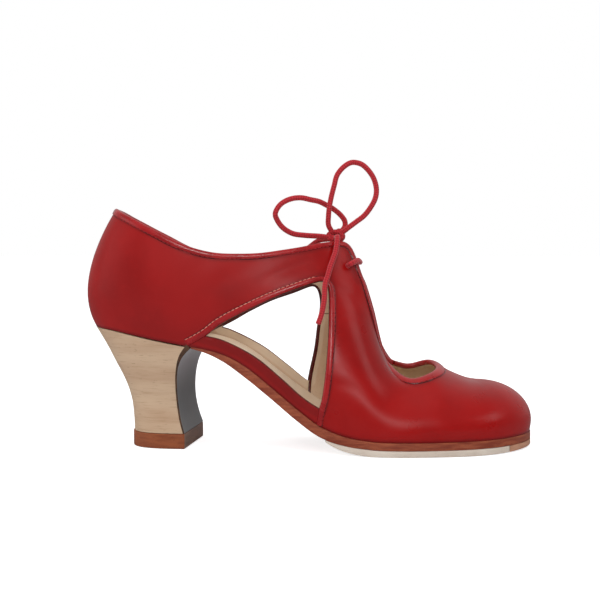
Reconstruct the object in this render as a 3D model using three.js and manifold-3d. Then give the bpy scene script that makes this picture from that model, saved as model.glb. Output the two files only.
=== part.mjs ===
// Right flamenco shoe with a spool heel, side cut-outs, a keyhole throat and a round lace.
// Millimetres. +X points to the toe, +Y to the inner side of the foot, +Z up, floor at z = 0.
// Tables hold shares of the named sizes; "along" is always a share of LENGTH.

import * as THREE from 'three';
import { mergeVertices } from 'three/addons/utils/BufferGeometryUtils.js';
import loadKernel from 'manifold-3d';

const kernel = await loadKernel();
kernel.setup();
const { Manifold, Mesh } = kernel;

// Driving sizes
const LENGTH = 236;              // back of the heel to the tip of the toe
const BALL_WIDTH = 77;           // feather line across the ball of the foot
const SEAT_HEIGHT = 64.6;        // feather line over the floor at the back of the heel
const BACK_HEIGHT = 62;          // quarter over the feather line at the back of the heel
const WALL = 1.9;                // leather with its lining
// Widths of the raised binding round each kind of opening
const COLLAR_BINDING = 3.0;
const SLOT_BINDING = 2.8;        // these two seen from above
const BOWL_BINDING = 4.4;
const WINDOW_BINDING = 3.4;
const BINDING_RISE = 0.5;
const OUTSOLE = 4.2;
const HALF_SOLE = 3.4;
const INSOLE = 2.4;
const SOLE_EDGE = 0.4;           // sole edge beyond the feather line
const SEAM_GAP = 0.3;            // left between curved pieces
const LIFT_WIDTH = 42;
const LIFT_DEPTH = 31.5;
const LIFT_HEIGHT = 8;
const LIFT_CHAMFER = 0.8;
const BREAST_COVER = 0.9;
const LACE = 2.7;
const EYELET = 3.4;
const BOW = 50;                  // unit of the bow: the tall loop reaches 0.8 of it
const TURN = Math.PI / 2;

// Places along the foot, shares of LENGTH
const BREAST_SEAT = 0.2465;      // heel breast where it meets the seat
const HALF_SOLE_BACK = 0.535;
const TOE_PIECE_BACK = 0.943;
const LIFT_FRONT = 0.2250;
const LIFT_TURN = 0.105;         // sideways slope of the breast, the heel being turned outwards
const COLLAR_LEAN = 0.083;       // sideways fall of the collar towards the inner side

// Counts of steps
const COLUMNS_PER_ROW = 2;
const RINGS = 12;
const CORD_SIDES = 8;
const HALVINGS = 30;             // steps when a place on the last is searched for
const SKIRT_FLOOR = -10;         // the last is carried down to here before it is trimmed
const OVERSHOOT = 60;            // how far cutting shapes pass the shoe
const TRIM_TOLERANCE = 0.03;     // slivers thinner than this are merged away

// Height of the feather line: share of the drop from the seat to the ball
const FEATHER_COLUMNS = ['along', 'rise'];
const FEATHER_ROWS = [
  [0.000, 1.000], [0.050, 0.985], [0.095, 0.952], [0.140, 0.914], [0.185, 0.877],
  [0.223, 0.848], [0.265, 0.815], [0.303, 0.770], [0.358, 0.647], [0.414, 0.465],
  [0.469, 0.282], [0.521, 0.131], [0.559, 0.065], [0.592, 0.030], [0.636, 0.006],
  [0.700, 0.000], [0.850, 0.002], [1.000, 0.012],
];

// Sections of the last from heel to toe. lateral, medial and crestAcross are shares of BALL_WIDTH,
// crestUp is the height over the feather line in shares of BACK_HEIGHT. At heel and toe the
// sections fan round one crest point. fullness shapes the section (2 is an ellipse), belly
// pushes its lower third outwards.
const LAST_COLUMNS = [
  'along', 'lateral', 'medial', 'crestAlong', 'crestAcross', 'crestUp', 'fullness', 'belly',
];
const LAST_ROWS = [
  [0.000, 0.013, 0.013, 0.169, 0.000, 1.479, 1.95, 0.150],
  [0.014, -0.162, 0.182, 0.169, 0.000, 1.479, 2.00, 0.145],
  [0.051, -0.286, 0.299, 0.174, 0.000, 1.482, 2.15, 0.130],
  [0.112, -0.351, 0.351, 0.195, 0.000, 1.514, 2.40, 0.110],
  [0.186, -0.364, 0.338, 0.246, 0.000, 1.565, 2.50, 0.090],
  [0.263, -0.351, 0.299, 0.314, 0.000, 1.623, 2.45, 0.090],
  [0.331, -0.331, 0.266, 0.390, 0.000, 1.746, 2.30, 0.100],
  [0.398, -0.338, 0.266, 0.466, 0.000, 1.852, 2.10, 0.120],
  [0.462, -0.370, 0.305, 0.534, 0.000, 1.846, 1.95, 0.130],
  [0.521, -0.418, 0.366, 0.583, 0.006, 1.681, 1.85, 0.110],
  [0.572, -0.458, 0.425, 0.617, 0.016, 1.437, 1.85, 0.090],
  [0.619, -0.486, 0.464, 0.640, 0.032, 1.123, 1.85, 0.075],
  [0.661, -0.505, 0.491, 0.667, 0.045, 0.672, 1.90, 0.060],
  [0.708, -0.506, 0.509, 0.712, 0.065, 0.594, 1.90, 0.055],
  [0.763, -0.486, 0.517, 0.767, 0.084, 0.612, 1.95, 0.050],
  [0.818, -0.457, 0.501, 0.816, 0.091, 0.515, 2.10, 0.050],
  [0.869, -0.413, 0.468, 0.847, 0.084, 0.460, 2.25, 0.050],
  [0.911, -0.351, 0.410, 0.862, 0.078, 0.444, 2.40, 0.050],
  [0.947, -0.262, 0.335, 0.867, 0.078, 0.443, 2.48, 0.045],
  [0.975, -0.156, 0.252, 0.869, 0.078, 0.443, 2.48, 0.040],
  [0.992, -0.049, 0.164, 0.869, 0.078, 0.443, 2.48, 0.040],
  [0.999, 0.060, 0.060, 0.869, 0.078, 0.443, 2.48, 0.040],
];

// Edges of the upper seen from the side; up is the height over the feather line in shares of
// BACK_HEIGHT
const EDGE_COLUMNS = ['along', 'up'];
const COLLAR_ROWS = [
  [-0.060, 1.040], [0.036, 1.034], [0.078, 0.984], [0.125, 0.925], [0.160, 0.885],
  [0.194, 0.841], [0.238, 0.802], [0.290, 0.803], [0.345, 0.897], [0.389, 1.026],
  [0.434, 1.192], [0.478, 1.354], [0.522, 1.507], [0.555, 1.577], [0.573, 1.602],
  [0.589, 1.570], [0.602, 1.462], [0.614, 1.325],
];
// From the heel seat up along the strap, round the front corner and down the vamp to the sole
const OUTER_WINDOW_ROWS = [
  [0.226, 0.000], [0.267, 0.117], [0.307, 0.278], [0.387, 0.623], [0.434, 0.849],
  [0.478, 1.045], [0.515, 1.190], [0.530, 1.225], [0.540, 1.190], [0.543, 1.060],
  [0.542, 0.820], [0.538, 0.560], [0.530, 0.284], [0.521, 0.129], [0.516, 0.000],
];
const INNER_WINDOW_ROWS = [
  [0.230, 0.000], [0.270, 0.112], [0.310, 0.240], [0.344, 0.385], [0.399, 0.645],
  [0.453, 0.886], [0.490, 1.050], [0.503, 1.085], [0.511, 1.049], [0.514, 0.942],
  [0.506, 0.712], [0.499, 0.498], [0.488, 0.277], [0.483, 0.153], [0.480, 0.000],
];
// Top of the low band of leather that joins quarter and vamp beside the insole
const BAND_ROWS = [
  [0.180, 0.100], [0.270, 0.110], [0.312, 0.116], [0.377, 0.138], [0.432, 0.142],
  [0.488, 0.132], [0.560, 0.128],
];
const INNER_BAND_RAISE = 0.018;  // the band stands this much higher on the inner side

// Throat seen from above: a slot that ends in a round bowl
const SLOT = { from: 0.53, to: 0.71, across: 0.014, half: 0.105 };
const BOWL = { along: 0.735, across: -0.010, halfLength: 0.056, half: 0.230 };

const EYELETS = [
  { name: 'lateral', side: -1, along: 0.583, up: 1.419 },
  { name: 'medial', side: 1, along: 0.586, up: 1.419 },
];

// Outsole thickness under the feather line, shares of OUTSOLE, thin where it meets the breast
const OUTSOLE_COLUMNS = ['along', 'thick'];
const OUTSOLE_ROWS = [
  [0.240, 0.26], [0.265, 0.42], [0.303, 0.86], [0.353, 1.40], [0.419, 1.48], [0.487, 1.48],
  [0.530, 1.36], [0.572, 1.17], [0.619, 1.03], [0.700, 1.00], [1.010, 1.00],
];
// Underside of the half sole and the toe piece: flat on the floor between two places, and rising
// behind and before them to a share of the height that the outsole leaves there
const TREAD_FLAT = { from: 0.645, to: 0.830 };
const TREAD_RISE = { back: 0.90, toe: 0.27 };

// Spool heel from the seat down: drop is a share of the height at each point of the outline,
// rear and breast are places along the foot, half is a share of BALL_WIDTH
const HEEL_COLUMNS = ['drop', 'rear', 'breast', 'half'];
const HEEL_ROWS = [
  [0.000, 0.000, BREAST_SEAT, 0.362], [0.060, 0.009, 0.2345, 0.354], [0.120, 0.018, 0.2250, 0.345],
  [0.200, 0.029, 0.2175, 0.331], [0.330, 0.045, 0.2113, 0.303], [0.480, 0.064, 0.2090, 0.274],
  [0.600, 0.076, 0.2095, 0.259], [0.700, 0.083, 0.2113, 0.254], [0.850, 0.088, 0.2165, 0.262],
  [1.000, 0.090, LIFT_FRONT, 0.273],
];
const HEEL_FOOT_FULLNESS = 2.8;
const HEEL_SIDE_STEPS = 30;
const HEEL_BREAST_STEPS = 6;
const HEEL_RINGS = 14;

// Bow, seen from the knot: forward, aside and up in shares of BOW
const KNOT = { along: 0.552, aside: -0.026, up: 1.615 };
const KNOT_RADIUS = 3.3;
const KNOT_TURN = 0.36;          // thickness of the turn round the knot, share of its radius
const KNOT_CORE = 0.93;
const KNOT_TILT = { forward: 0.5, aside: 0.9 };
const BOW_COLUMNS = ['forward', 'aside', 'up'];
const REAR_LOOP_ROWS = [
  [-0.17, -0.05, 0.02], [-0.32, -0.09, 0.03], [-0.45, -0.12, 0.05], [-0.55, -0.15, 0.11],
  [-0.61, -0.17, 0.19], [-0.63, -0.20, 0.26], [-0.60, -0.19, 0.33], [-0.55, -0.17, 0.38],
  [-0.46, -0.15, 0.42], [-0.36, -0.12, 0.43], [-0.26, -0.08, 0.41], [-0.17, -0.03, 0.39],
  [-0.09, 0.03, 0.35], [-0.02, 0.08, 0.31], [0.06, 0.12, 0.24], [0.10, 0.12, 0.18],
  [0.10, 0.11, 0.12],
];
const FRONT_LOOP_ROWS = [
  [-0.07, -0.05, 0.14], [-0.07, -0.07, 0.23], [-0.06, -0.08, 0.33],
  [-0.04, -0.07, 0.44], [-0.01, -0.06, 0.56], [0.02, -0.04, 0.67], [0.08, -0.02, 0.75],
  [0.15, 0.01, 0.80], [0.20, 0.03, 0.81], [0.28, 0.05, 0.79], [0.35, 0.06, 0.73],
  [0.41, 0.06, 0.64], [0.44, 0.05, 0.53], [0.43, 0.03, 0.43], [0.38, 0.01, 0.33],
  [0.31, -0.01, 0.24], [0.22, -0.03, 0.17], [0.14, -0.05, 0.11],
];
// Loose end in front: out of the knot and over the binding of the outer strap
const HANGING_START_ROWS = [[0.03, -0.17, 0.01]];
// then down the strap: along and up as on the upper, lying on its leather
const HANGING_ROWS = [
  [0.551, 1.490], [0.545, 1.405], [0.540, 1.335], [0.536, 1.265],
  [0.531, 1.190], [0.530, 1.070], [0.527, 0.975], [0.522, 0.890], [0.518, 0.840],
];
// The bar over the throat: the place on the crest it makes for, and its stops on the way there,
// the last one beside the edge of the slot
const BAR_CREST = 0.612;
const BAR_SHARES = [0, 0.3, 0.55];
const STRAND_INWARD = 0.9;
const INNER_END_ROWS = [
  [-0.18, 0.13, -0.03], [-0.27, 0.19, -0.09], [-0.36, 0.23, -0.17],
  [-0.42, 0.24, -0.26], [-0.44, 0.25, -0.36],
];

function named(columns, rows) {
  return rows.map((row) => Object.fromEntries(columns.map((column, i) => [column, row[i]])));
}

// Smooth curve through the rows of a table, read at any place in its first column.
function curveThrough(columns, rows) {
  const table = named(columns, rows);
  const at = columns[0];
  const slopes = {};
  for (const column of columns.slice(1)) {
    slopes[column] = table.map((row, i) => {
      const before = table[Math.max(i - 1, 0)];
      const after = table[Math.min(i + 1, table.length - 1)];
      if (before === row || after === row) {
        return (after[column] - before[column]) / (after[at] - before[at]);
      }
      const back = row[at] - before[at];
      const ahead = after[at] - row[at];
      const rising = (after[column] - row[column]) / ahead;
      const risen = (row[column] - before[column]) / back;
      return (rising * back + risen * ahead) / (back + ahead);
    });
  }
  return (place, column) => {
    let i = 0;
    while (i < table.length - 2 && place > table[i + 1][at]) {
      i += 1;
    }
    const span = table[i + 1][at] - table[i][at];
    const t = Math.min(Math.max((place - table[i][at]) / span, 0), 1);
    return hermite(table[i][column], table[i + 1][column],
      slopes[column][i] * span, slopes[column][i + 1] * span, t);
  };
}

function hermite(start, end, startSlope, endSlope, t) {
  const s = 1 - t;
  return start * (1 + 2 * t) * s * s + startSlope * t * s * s
    + end * t * t * (3 - 2 * t) - endSlope * t * t * s;
}

const SOLE_STACK = OUTSOLE + HALF_SOLE;
const featherCurve = curveThrough(FEATHER_COLUMNS, FEATHER_ROWS);

function featherHeight(x) {
  return SOLE_STACK + (SEAT_HEIGHT - SOLE_STACK) * featherCurve(x / LENGTH, 'rise');
}

// The outline of the last as one closed loop of sections: lateral side forwards, medial side back.
const lastTable = named(LAST_COLUMNS, LAST_ROWS);
const lastLoop = [
  ...lastTable.map((row) => ({ ...row, half: row.lateral })),
  ...lastTable.slice(1, -1).reverse().map((row) => ({ ...row, half: row.medial })),
];
const LOOP_LENGTH = lastLoop.length;
const TOE_INDEX = lastTable.length - 1;

function loopSection(u) {
  const i = Math.floor(u);
  const [before, start, end, after] = [-1, 0, 1, 2].map(
    (step) => lastLoop[(i + step + LOOP_LENGTH) % LOOP_LENGTH]);
  const section = {};
  for (const key of ['along', 'half', 'crestAlong', 'crestAcross', 'crestUp', 'fullness', 'belly']) {
    section[key] = hermite(start[key], end[key],
      (end[key] - before[key]) / 2, (after[key] - start[key]) / 2, u - i);
  }
  return section;
}

const BELLY_PEAK = 0.08192;      // largest value of t (1 - t)^4, so that belly reads as a share

// Point of the last: u runs round the loop, t from the feather line to the crest.
function lastPoint(u, t) {
  const section = loopSection(((u % LOOP_LENGTH) + LOOP_LENGTH) % LOOP_LENGTH);
  const x = section.along * LENGTH;
  const y = section.half * BALL_WIDTH;
  const crestX = section.crestAlong * LENGTH;
  const crestY = section.crestAcross * BALL_WIDTH;
  const crestZ = featherHeight(crestX) + section.crestUp * BACK_HEIGHT;
  const power = 2 / section.fullness;
  const out = Math.max(Math.cos(TURN * t), 0) ** power
    + section.belly * t * (1 - t) ** 4 / BELLY_PEAK;
  const up = Math.sin(TURN * t) ** power;
  const foot = featherHeight(x);
  return new THREE.Vector3(crestX + (x - crestX) * out, crestY + (y - crestY) * out,
    foot + (crestZ - foot) * up);
}

// Place on the last at a given x and z, found by halving along the section and round the loop.
function placeOnSide(x, z, side) {
  const toU = (v) => (side < 0 ? v : LOOP_LENGTH - v);
  const atHeight = (v) => {
    let low = 0;
    let high = 1;
    for (let step = 0; step < HALVINGS; step += 1) {
      const mid = (low + high) / 2;
      if (lastPoint(toU(v), mid).z < z) {
        low = mid;
      } else {
        high = mid;
      }
    }
    return low;
  };
  let rear = 0;
  let front = TOE_INDEX;
  for (let step = 0; step < HALVINGS; step += 1) {
    const mid = (rear + front) / 2;
    if (lastPoint(toU(mid), atHeight(mid)).x < x) {
      rear = mid;
    } else {
      front = mid;
    }
  }
  return { u: toU(rear), t: atHeight(rear) };
}

// Point of a side outline, in x and z, from a row with along and up.
function sidePoint(row) {
  const x = row.along * LENGTH;
  return new THREE.Vector2(x, featherHeight(x) + row.up * BACK_HEIGHT);
}

function solidOf(geometry) {
  const bare = new THREE.BufferGeometry();
  bare.setAttribute('position', geometry.getAttribute('position').clone());
  bare.setIndex(geometry.getIndex());
  const welded = mergeVertices(bare, 1e-4);
  const mesh = new Mesh({
    numProp: 3,
    vertProperties: new Float32Array(welded.getAttribute('position').array),
    triVerts: new Uint32Array(welded.getIndex().array),
  });
  mesh.merge();
  return new Manifold(mesh);
}

function geometryOf(solid) {
  const mesh = solid.getMesh();
  const geometry = new THREE.BufferGeometry();
  geometry.setAttribute('position', new THREE.BufferAttribute(mesh.vertProperties, 3));
  geometry.setIndex(new THREE.BufferAttribute(mesh.triVerts, 1));
  return geometry;
}

function closedGeometry(points, triangles) {
  const geometry = new THREE.BufferGeometry();
  const coordinates = points.flatMap((p) => [p.x, p.y, p.z]);
  geometry.setAttribute('position', new THREE.Float32BufferAttribute(coordinates, 3));
  geometry.setIndex(triangles.flat());
  return geometry;
}

// Closed body of the last, moved along its normals by an offset. Its flat foot lies under the floor.
function lastBody(offset) {
  const columns = LOOP_LENGTH * COLUMNS_PER_ROW;
  const middle = TOE_INDEX * COLUMNS_PER_ROW;
  const points = [];
  const rings = [];
  const skirt = [];
  for (let c = 0; c < columns; c += 1) {
    const p = lastPoint(c / COLUMNS_PER_ROW, 0);
    skirt.push(points.push(new THREE.Vector3(p.x, p.y, SKIRT_FLOOR)) - 1);
  }
  rings.push(skirt);
  for (let r = 0; r < RINGS; r += 1) {
    const ring = [];
    for (let c = 0; c < columns; c += 1) {
      ring.push(points.push(lastPoint(c / COLUMNS_PER_ROW, r / RINGS)) - 1);
    }
    rings.push(ring);
  }
  // Both sides meet along the crest, so its points are shared.
  const crest = [];
  for (let c = 0; c < columns; c += 1) {
    const partner = (columns - c) % columns;
    crest.push(c <= middle ? points.push(lastPoint(c / COLUMNS_PER_ROW, 1)) - 1 : crest[partner]);
  }
  rings.push(crest);
  const triangles = [];
  const add = (a, b, c) => {
    if (a !== b && b !== c && c !== a) {
      triangles.push([a, b, c]);
    }
  };
  for (let r = 0; r + 1 < rings.length; r += 1) {
    for (let c = 0; c < columns; c += 1) {
      const next = (c + 1) % columns;
      add(rings[r][c], rings[r][next], rings[r + 1][next]);
      add(rings[r][c], rings[r + 1][next], rings[r + 1][c]);
    }
  }
  const open = closedGeometry(points, triangles);
  open.computeVertexNormals();
  const normals = open.getAttribute('normal');
  const moved = points.map((p, i) => p.clone().addScaledVector(
    new THREE.Vector3().fromBufferAttribute(normals, i), offset));
  for (const index of skirt) {
    moved[index].z = SKIRT_FLOOR;
  }
  const centre = moved.push(new THREE.Vector3(LENGTH / 2, 0, SKIRT_FLOOR)) - 1;
  for (let c = 0; c < columns; c += 1) {
    triangles.push([skirt[(c + 1) % columns], skirt[c], centre]);
  }
  return solidOf(closedGeometry(moved, triangles));
}

// Prism of an outline drawn in x and z, between two values of y.
function sidePrism(outline, yFrom, yTo, slant = new THREE.Matrix4()) {
  const geometry = new THREE.ExtrudeGeometry(new THREE.Shape(outline),
    { depth: yTo - yFrom, bevelEnabled: false, steps: 1 });
  geometry.rotateX(TURN);
  geometry.translate(0, yTo, 0);
  geometry.applyMatrix4(slant);
  return solidOf(geometry);
}

// Prism of an outline drawn in x and y, between two heights.
function planPrism(outline, zFrom, zTo) {
  const geometry = new THREE.ExtrudeGeometry(new THREE.Shape(outline),
    { depth: zTo - zFrom, bevelEnabled: false, steps: 1 });
  geometry.translate(0, 0, zFrom);
  return solidOf(geometry);
}

function smooth(points, steps) {
  return new THREE.SplineCurve(points).getPoints(steps);
}

// The same line moved sideways, to its left for a positive distance.
function offsetLine(line, distance, closed = false) {
  const count = line.length;
  return line.map((point, i) => {
    const before = closed ? line[(i - 1 + count) % count] : line[Math.max(i - 1, 0)];
    const after = closed ? line[(i + 1) % count] : line[Math.min(i + 1, count - 1)];
    const along = after.clone().sub(before).normalize();
    return new THREE.Vector2(point.x - along.y * distance, point.y + along.x * distance);
  });
}

function strip(line, width) {
  return [...line, ...offsetLine(line, width).reverse()];
}

function featherLine(from, to, drop, steps = 60) {
  const line = [];
  for (let i = 0; i <= steps; i += 1) {
    const x = from + (to - from) * i / steps;
    line.push(new THREE.Vector2(x, featherHeight(x) - drop(x)));
  }
  return line;
}

// Everything below the feather line, lowered by drop.
function belowFeather(drop) {
  const from = -OVERSHOOT;
  const to = LENGTH + OVERSHOOT;
  return sidePrism([new THREE.Vector2(from, -OVERSHOOT), new THREE.Vector2(to, -OVERSHOOT),
    ...featherLine(from, to, () => drop, 120).reverse()], -OVERSHOOT, OVERSHOOT);
}

function featherOutline(offset) {
  const count = LOOP_LENGTH * COLUMNS_PER_ROW;
  const outline = [];
  for (let i = 0; i < count; i += 1) {
    const p = lastPoint(i / COLUMNS_PER_ROW, 0);
    outline.push(new THREE.Vector2(p.x, p.y));
  }
  // The loop runs anticlockwise seen from above, so outwards is to its right.
  return offsetLine(outline, -offset, true);
}

// Upper
const WINDOW_STEPS = 48;
const BAND_STEPS = 24;

function windowShapes(rows, raise) {
  const edge = smooth(named(EDGE_COLUMNS, rows).map(sidePoint), WINDOW_STEPS);
  const bandTop = smooth(named(EDGE_COLUMNS, BAND_ROWS)
    .map((row) => sidePoint({ along: row.along, up: row.up + raise })), BAND_STEPS);
  return { edge, bandTop };
}

function upperBody() {
  const sides = [
    { ...windowShapes(OUTER_WINDOW_ROWS, 0), from: -BALL_WIDTH, to: 0 },
    { ...windowShapes(INNER_WINDOW_ROWS, INNER_BAND_RAISE), from: 0, to: BALL_WIDTH },
  ];
  const collarLine = smooth(named(EDGE_COLUMNS, COLLAR_ROWS).map(sidePoint), 60);
  const sky = SEAT_HEIGHT + 2 * BACK_HEIGHT + OVERSHOOT;
  const above = (line) => [...line, new THREE.Vector2(line.at(-1).x + OVERSHOOT, line.at(-1).y),
    new THREE.Vector2(LENGTH, sky), new THREE.Vector2(line[0].x, sky)];
  const lean = new THREE.Matrix4().makeShear(0, 0, 0, -COLLAR_LEAN, 0, 0);
  const collar = sidePrism(above(collarLine), -BALL_WIDTH, BALL_WIDTH, lean);
  const collarBinding = sidePrism(strip(collarLine, -COLLAR_BINDING), -BALL_WIDTH, BALL_WIDTH,
    lean);

  const slotOutline = (grow) => {
    const y = SLOT.across * BALL_WIDTH;
    const half = SLOT.half * BALL_WIDTH + grow;
    return [[SLOT.from, -1], [SLOT.to, -1], [SLOT.to, 1], [SLOT.from, 1]]
      .map(([along, sign]) => new THREE.Vector2(along * LENGTH, y + sign * half));
  };
  const bowlOutline = (grow) => new THREE.EllipseCurve(BOWL.along * LENGTH, BOWL.across * BALL_WIDTH,
    BOWL.halfLength * LENGTH + grow, BOWL.half * BALL_WIDTH + grow, 0, 2 * Math.PI)
    .getPoints(40).slice(0, -1);
  const throat = (slotGrow, bowlGrow) => Manifold.union([
    planPrism(slotOutline(slotGrow), 2 * SOLE_STACK, sky),
    planPrism(bowlOutline(bowlGrow), 2 * SOLE_STACK, sky),
  ]);

  const windowCuts = [];
  const bindings = [collarBinding, throat(SLOT_BINDING, BOWL_BINDING)];
  for (const side of sides) {
    const gap = sidePrism(side.edge, side.from, side.to);
    const band = sidePrism([...side.bandTop, new THREE.Vector2(side.bandTop.at(-1).x, -OVERSHOOT),
      new THREE.Vector2(side.bandTop[0].x, -OVERSHOOT)], side.from, side.to);
    windowCuts.push(gap.subtract(band));
    bindings.push(sidePrism(strip(side.edge, WINDOW_BINDING), side.from, side.to));
  }
  const eyelets = EYELETS.map((eyelet) => {
    const { point, normal } = eyeletPlace(eyelet);
    const hole = new THREE.CylinderGeometry(EYELET / 2, EYELET / 2, 4 * EYELET, 12);
    hole.applyQuaternion(new THREE.Quaternion().setFromUnitVectors(new THREE.Vector3(0, 1, 0), normal));
    hole.translate(point.x, point.y, point.z);
    return solidOf(hole);
  });
  const raised = lastBody(BINDING_RISE).intersect(Manifold.union(bindings));
  return lastBody(0).add(raised)
    .subtract(lastBody(-WALL))
    .subtract(Manifold.union([collar, throat(0, 0), ...windowCuts, ...eyelets]))
    .subtract(belowFeather(0))
    .simplify(TRIM_TOLERANCE);
}

function surfaceNormal(u, t) {
  const step = 0.02;
  const round = lastPoint(u + step, t).sub(lastPoint(u - step, t));
  const rise = lastPoint(u, t + step).sub(lastPoint(u, t - step));
  return round.cross(rise).normalize();
}

function eyeletPlace(eyelet) {
  const aim = sidePoint(eyelet);
  const { u, t } = placeOnSide(aim.x, aim.y, eyelet.side);
  return { point: lastPoint(u, t), normal: surfaceNormal(u, t) };
}

// Soles
function slab(outline, line, bottomLine) {
  const profile = [...line, ...[...bottomLine].reverse()];
  return planPrism(outline, -OVERSHOOT, SEAT_HEIGHT + OVERSHOOT)
    .intersect(sidePrism(profile, -BALL_WIDTH, BALL_WIDTH));
}

const outsoleCurve = curveThrough(OUTSOLE_COLUMNS, OUTSOLE_ROWS);
const outsoleDrop = (x) => OUTSOLE * outsoleCurve(x / LENGTH, 'thick');

function treadHeight(x) {
  const room = featherHeight(x) - outsoleDrop(x) - SEAM_GAP;
  const behind = TREAD_FLAT.from - x / LENGTH;
  const before = x / LENGTH - TREAD_FLAT.to;
  if (behind > 0) {
    return room * TREAD_RISE.back * (behind / (TREAD_FLAT.from - HALF_SOLE_BACK)) ** 1.5;
  }
  return room * TREAD_RISE.toe * (Math.max(before, 0) / (1 - TREAD_FLAT.to)) ** 2;
}

// The underside from one place to another, with no points between the ends of its flat.
function treadLine(from, to, steps) {
  const flat = [TREAD_FLAT.from * LENGTH, TREAD_FLAT.to * LENGTH];
  const places = flat.filter((x) => x > from && x < to);
  for (let i = 0; i <= steps; i += 1) {
    const x = from + (to - from) * i / steps;
    if (x < flat[0] || x > flat[1]) {
      places.push(x);
    }
  }
  return places.sort((a, b) => a - b).map((x) => new THREE.Vector2(x, treadHeight(x)));
}

function insoleBody() {
  const inner = featherOutline(-(WALL + SEAM_GAP));
  return slab(inner, featherLine(0, LENGTH, () => -INSOLE), featherLine(0, LENGTH, () => 0));
}

function outsoleBody() {
  const from = (BREAST_SEAT - LIFT_TURN / 8) * LENGTH;
  const to = LENGTH + 2 * SOLE_EDGE;
  return slab(featherOutline(SOLE_EDGE), featherLine(from, to, () => SEAM_GAP),
    featherLine(from, to, outsoleDrop)).subtract(behindBreast(-SEAM_GAP));
}

function treadPiece(from, to) {
  const top = featherLine(from, to, (x) => outsoleDrop(x) + SEAM_GAP, 24);
  return slab(featherOutline(SOLE_EDGE), top, treadLine(from, to, 24));
}

// Heel: rings from the seat down, each point of the seat outline paired with one of the foot
function heelOutlines() {
  const seat = featherOutline(0);
  const count = seat.length;
  const front = BREAST_SEAT * LENGTH;
  const lateral = seat.slice(0, count / 2).filter((p) => p.x < front);
  const medial = seat.slice(count / 2).filter((p) => p.x < front);
  const lateralNext = seat[lateral.length];
  const medialNext = seat[count - medial.length - 1];
  const onFront = (inside, outside) => inside.clone()
    .lerp(outside, (front - inside.x) / (outside.x - inside.x));
  const line = [onFront(lateral.at(-1), lateralNext), ...[...lateral].reverse(),
    ...[...medial].reverse(), onFront(medial[0], medialNext)];
  const path = new THREE.CatmullRomCurve3(line.map((p) => new THREE.Vector3(p.x, p.y, 0)));
  return path.getSpacedPoints(HEEL_SIDE_STEPS).map((p, i) => {
    const angle = Math.PI * i / HEEL_SIDE_STEPS;
    const power = 2 / HEEL_FOOT_FULLNESS;
    return {
      seat: { forward: p.x / front, across: p.y / BALL_WIDTH },
      foot: {
        forward: 1 - Math.sin(angle) ** power,
        across: -Math.sign(Math.cos(angle)) * Math.abs(Math.cos(angle)) ** power,
      },
    };
  });
}

const heelPairs = heelOutlines();
const heelCurve = curveThrough(HEEL_COLUMNS, HEEL_ROWS);

// Point of the heel's side, drop being its share of the way from the seat to the lift.
function heelSidePoint(pair, drop) {
  const rear = heelCurve(drop, 'rear') * LENGTH;
  const breast = heelCurve(drop, 'breast') * LENGTH;
  const half = heelCurve(drop, 'half') * BALL_WIDTH;
  const seatHalf = heelCurve(0, 'half');
  const blend = THREE.MathUtils.smoothstep(drop, 0, 1);
  const forward = THREE.MathUtils.lerp(pair.seat.forward, pair.foot.forward, blend);
  const across = THREE.MathUtils.lerp(pair.seat.across / seatHalf, pair.foot.across, blend);
  const seatX = pair.seat.forward * BREAST_SEAT * LENGTH;
  const y = across * half;
  const x = rear + (breast - rear) * forward + LIFT_TURN * y * forward;
  return new THREE.Vector3(x, y, THREE.MathUtils.lerp(featherHeight(seatX), LIFT_HEIGHT, drop));
}

function heelRing(drop) {
  const ring = heelPairs.map((pair) => heelSidePoint(pair, drop));
  const first = ring[0];
  const last = ring.at(-1);
  for (let i = 1; i < HEEL_BREAST_STEPS; i += 1) {
    ring.push(last.clone().lerp(first, i / HEEL_BREAST_STEPS));
  }
  return ring;
}

// Closed body through rings of equal length, the first one on top.
function loft(rings) {
  const count = rings[0].length;
  const points = rings.flat();
  const triangles = [];
  for (let r = 0; r + 1 < rings.length; r += 1) {
    for (let i = 0; i < count; i += 1) {
      const j = (i + 1) % count;
      triangles.push([r * count + i, r * count + j, (r + 1) * count + j]);
      triangles.push([r * count + i, (r + 1) * count + j, (r + 1) * count + i]);
    }
  }
  const centreOf = (ring) => ring.reduce((sum, p) => sum.add(p), new THREE.Vector3()).divideScalar(count);
  const top = points.push(centreOf(rings[0])) - 1;
  const bottom = points.push(centreOf(rings.at(-1))) - 1;
  const start = (rings.length - 1) * count;
  for (let i = 0; i < count; i += 1) {
    const j = (i + 1) % count;
    triangles.push([top, j, i]);
    triangles.push([bottom, start + i, start + j]);
  }
  return solidOf(closedGeometry(points, triangles));
}

function heelShape() {
  const rings = [];
  for (let i = 0; i <= HEEL_RINGS; i += 1) {
    rings.push(heelRing(i / HEEL_RINGS));
  }
  const overSeat = rings[0].map((p) => p.clone().setZ(SEAT_HEIGHT + INSOLE));
  rings.at(-1).forEach((p) => p.setZ(LIFT_HEIGHT + SEAM_GAP));
  return loft([overSeat, ...rings]).intersect(belowFeather(SEAM_GAP));
}

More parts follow.
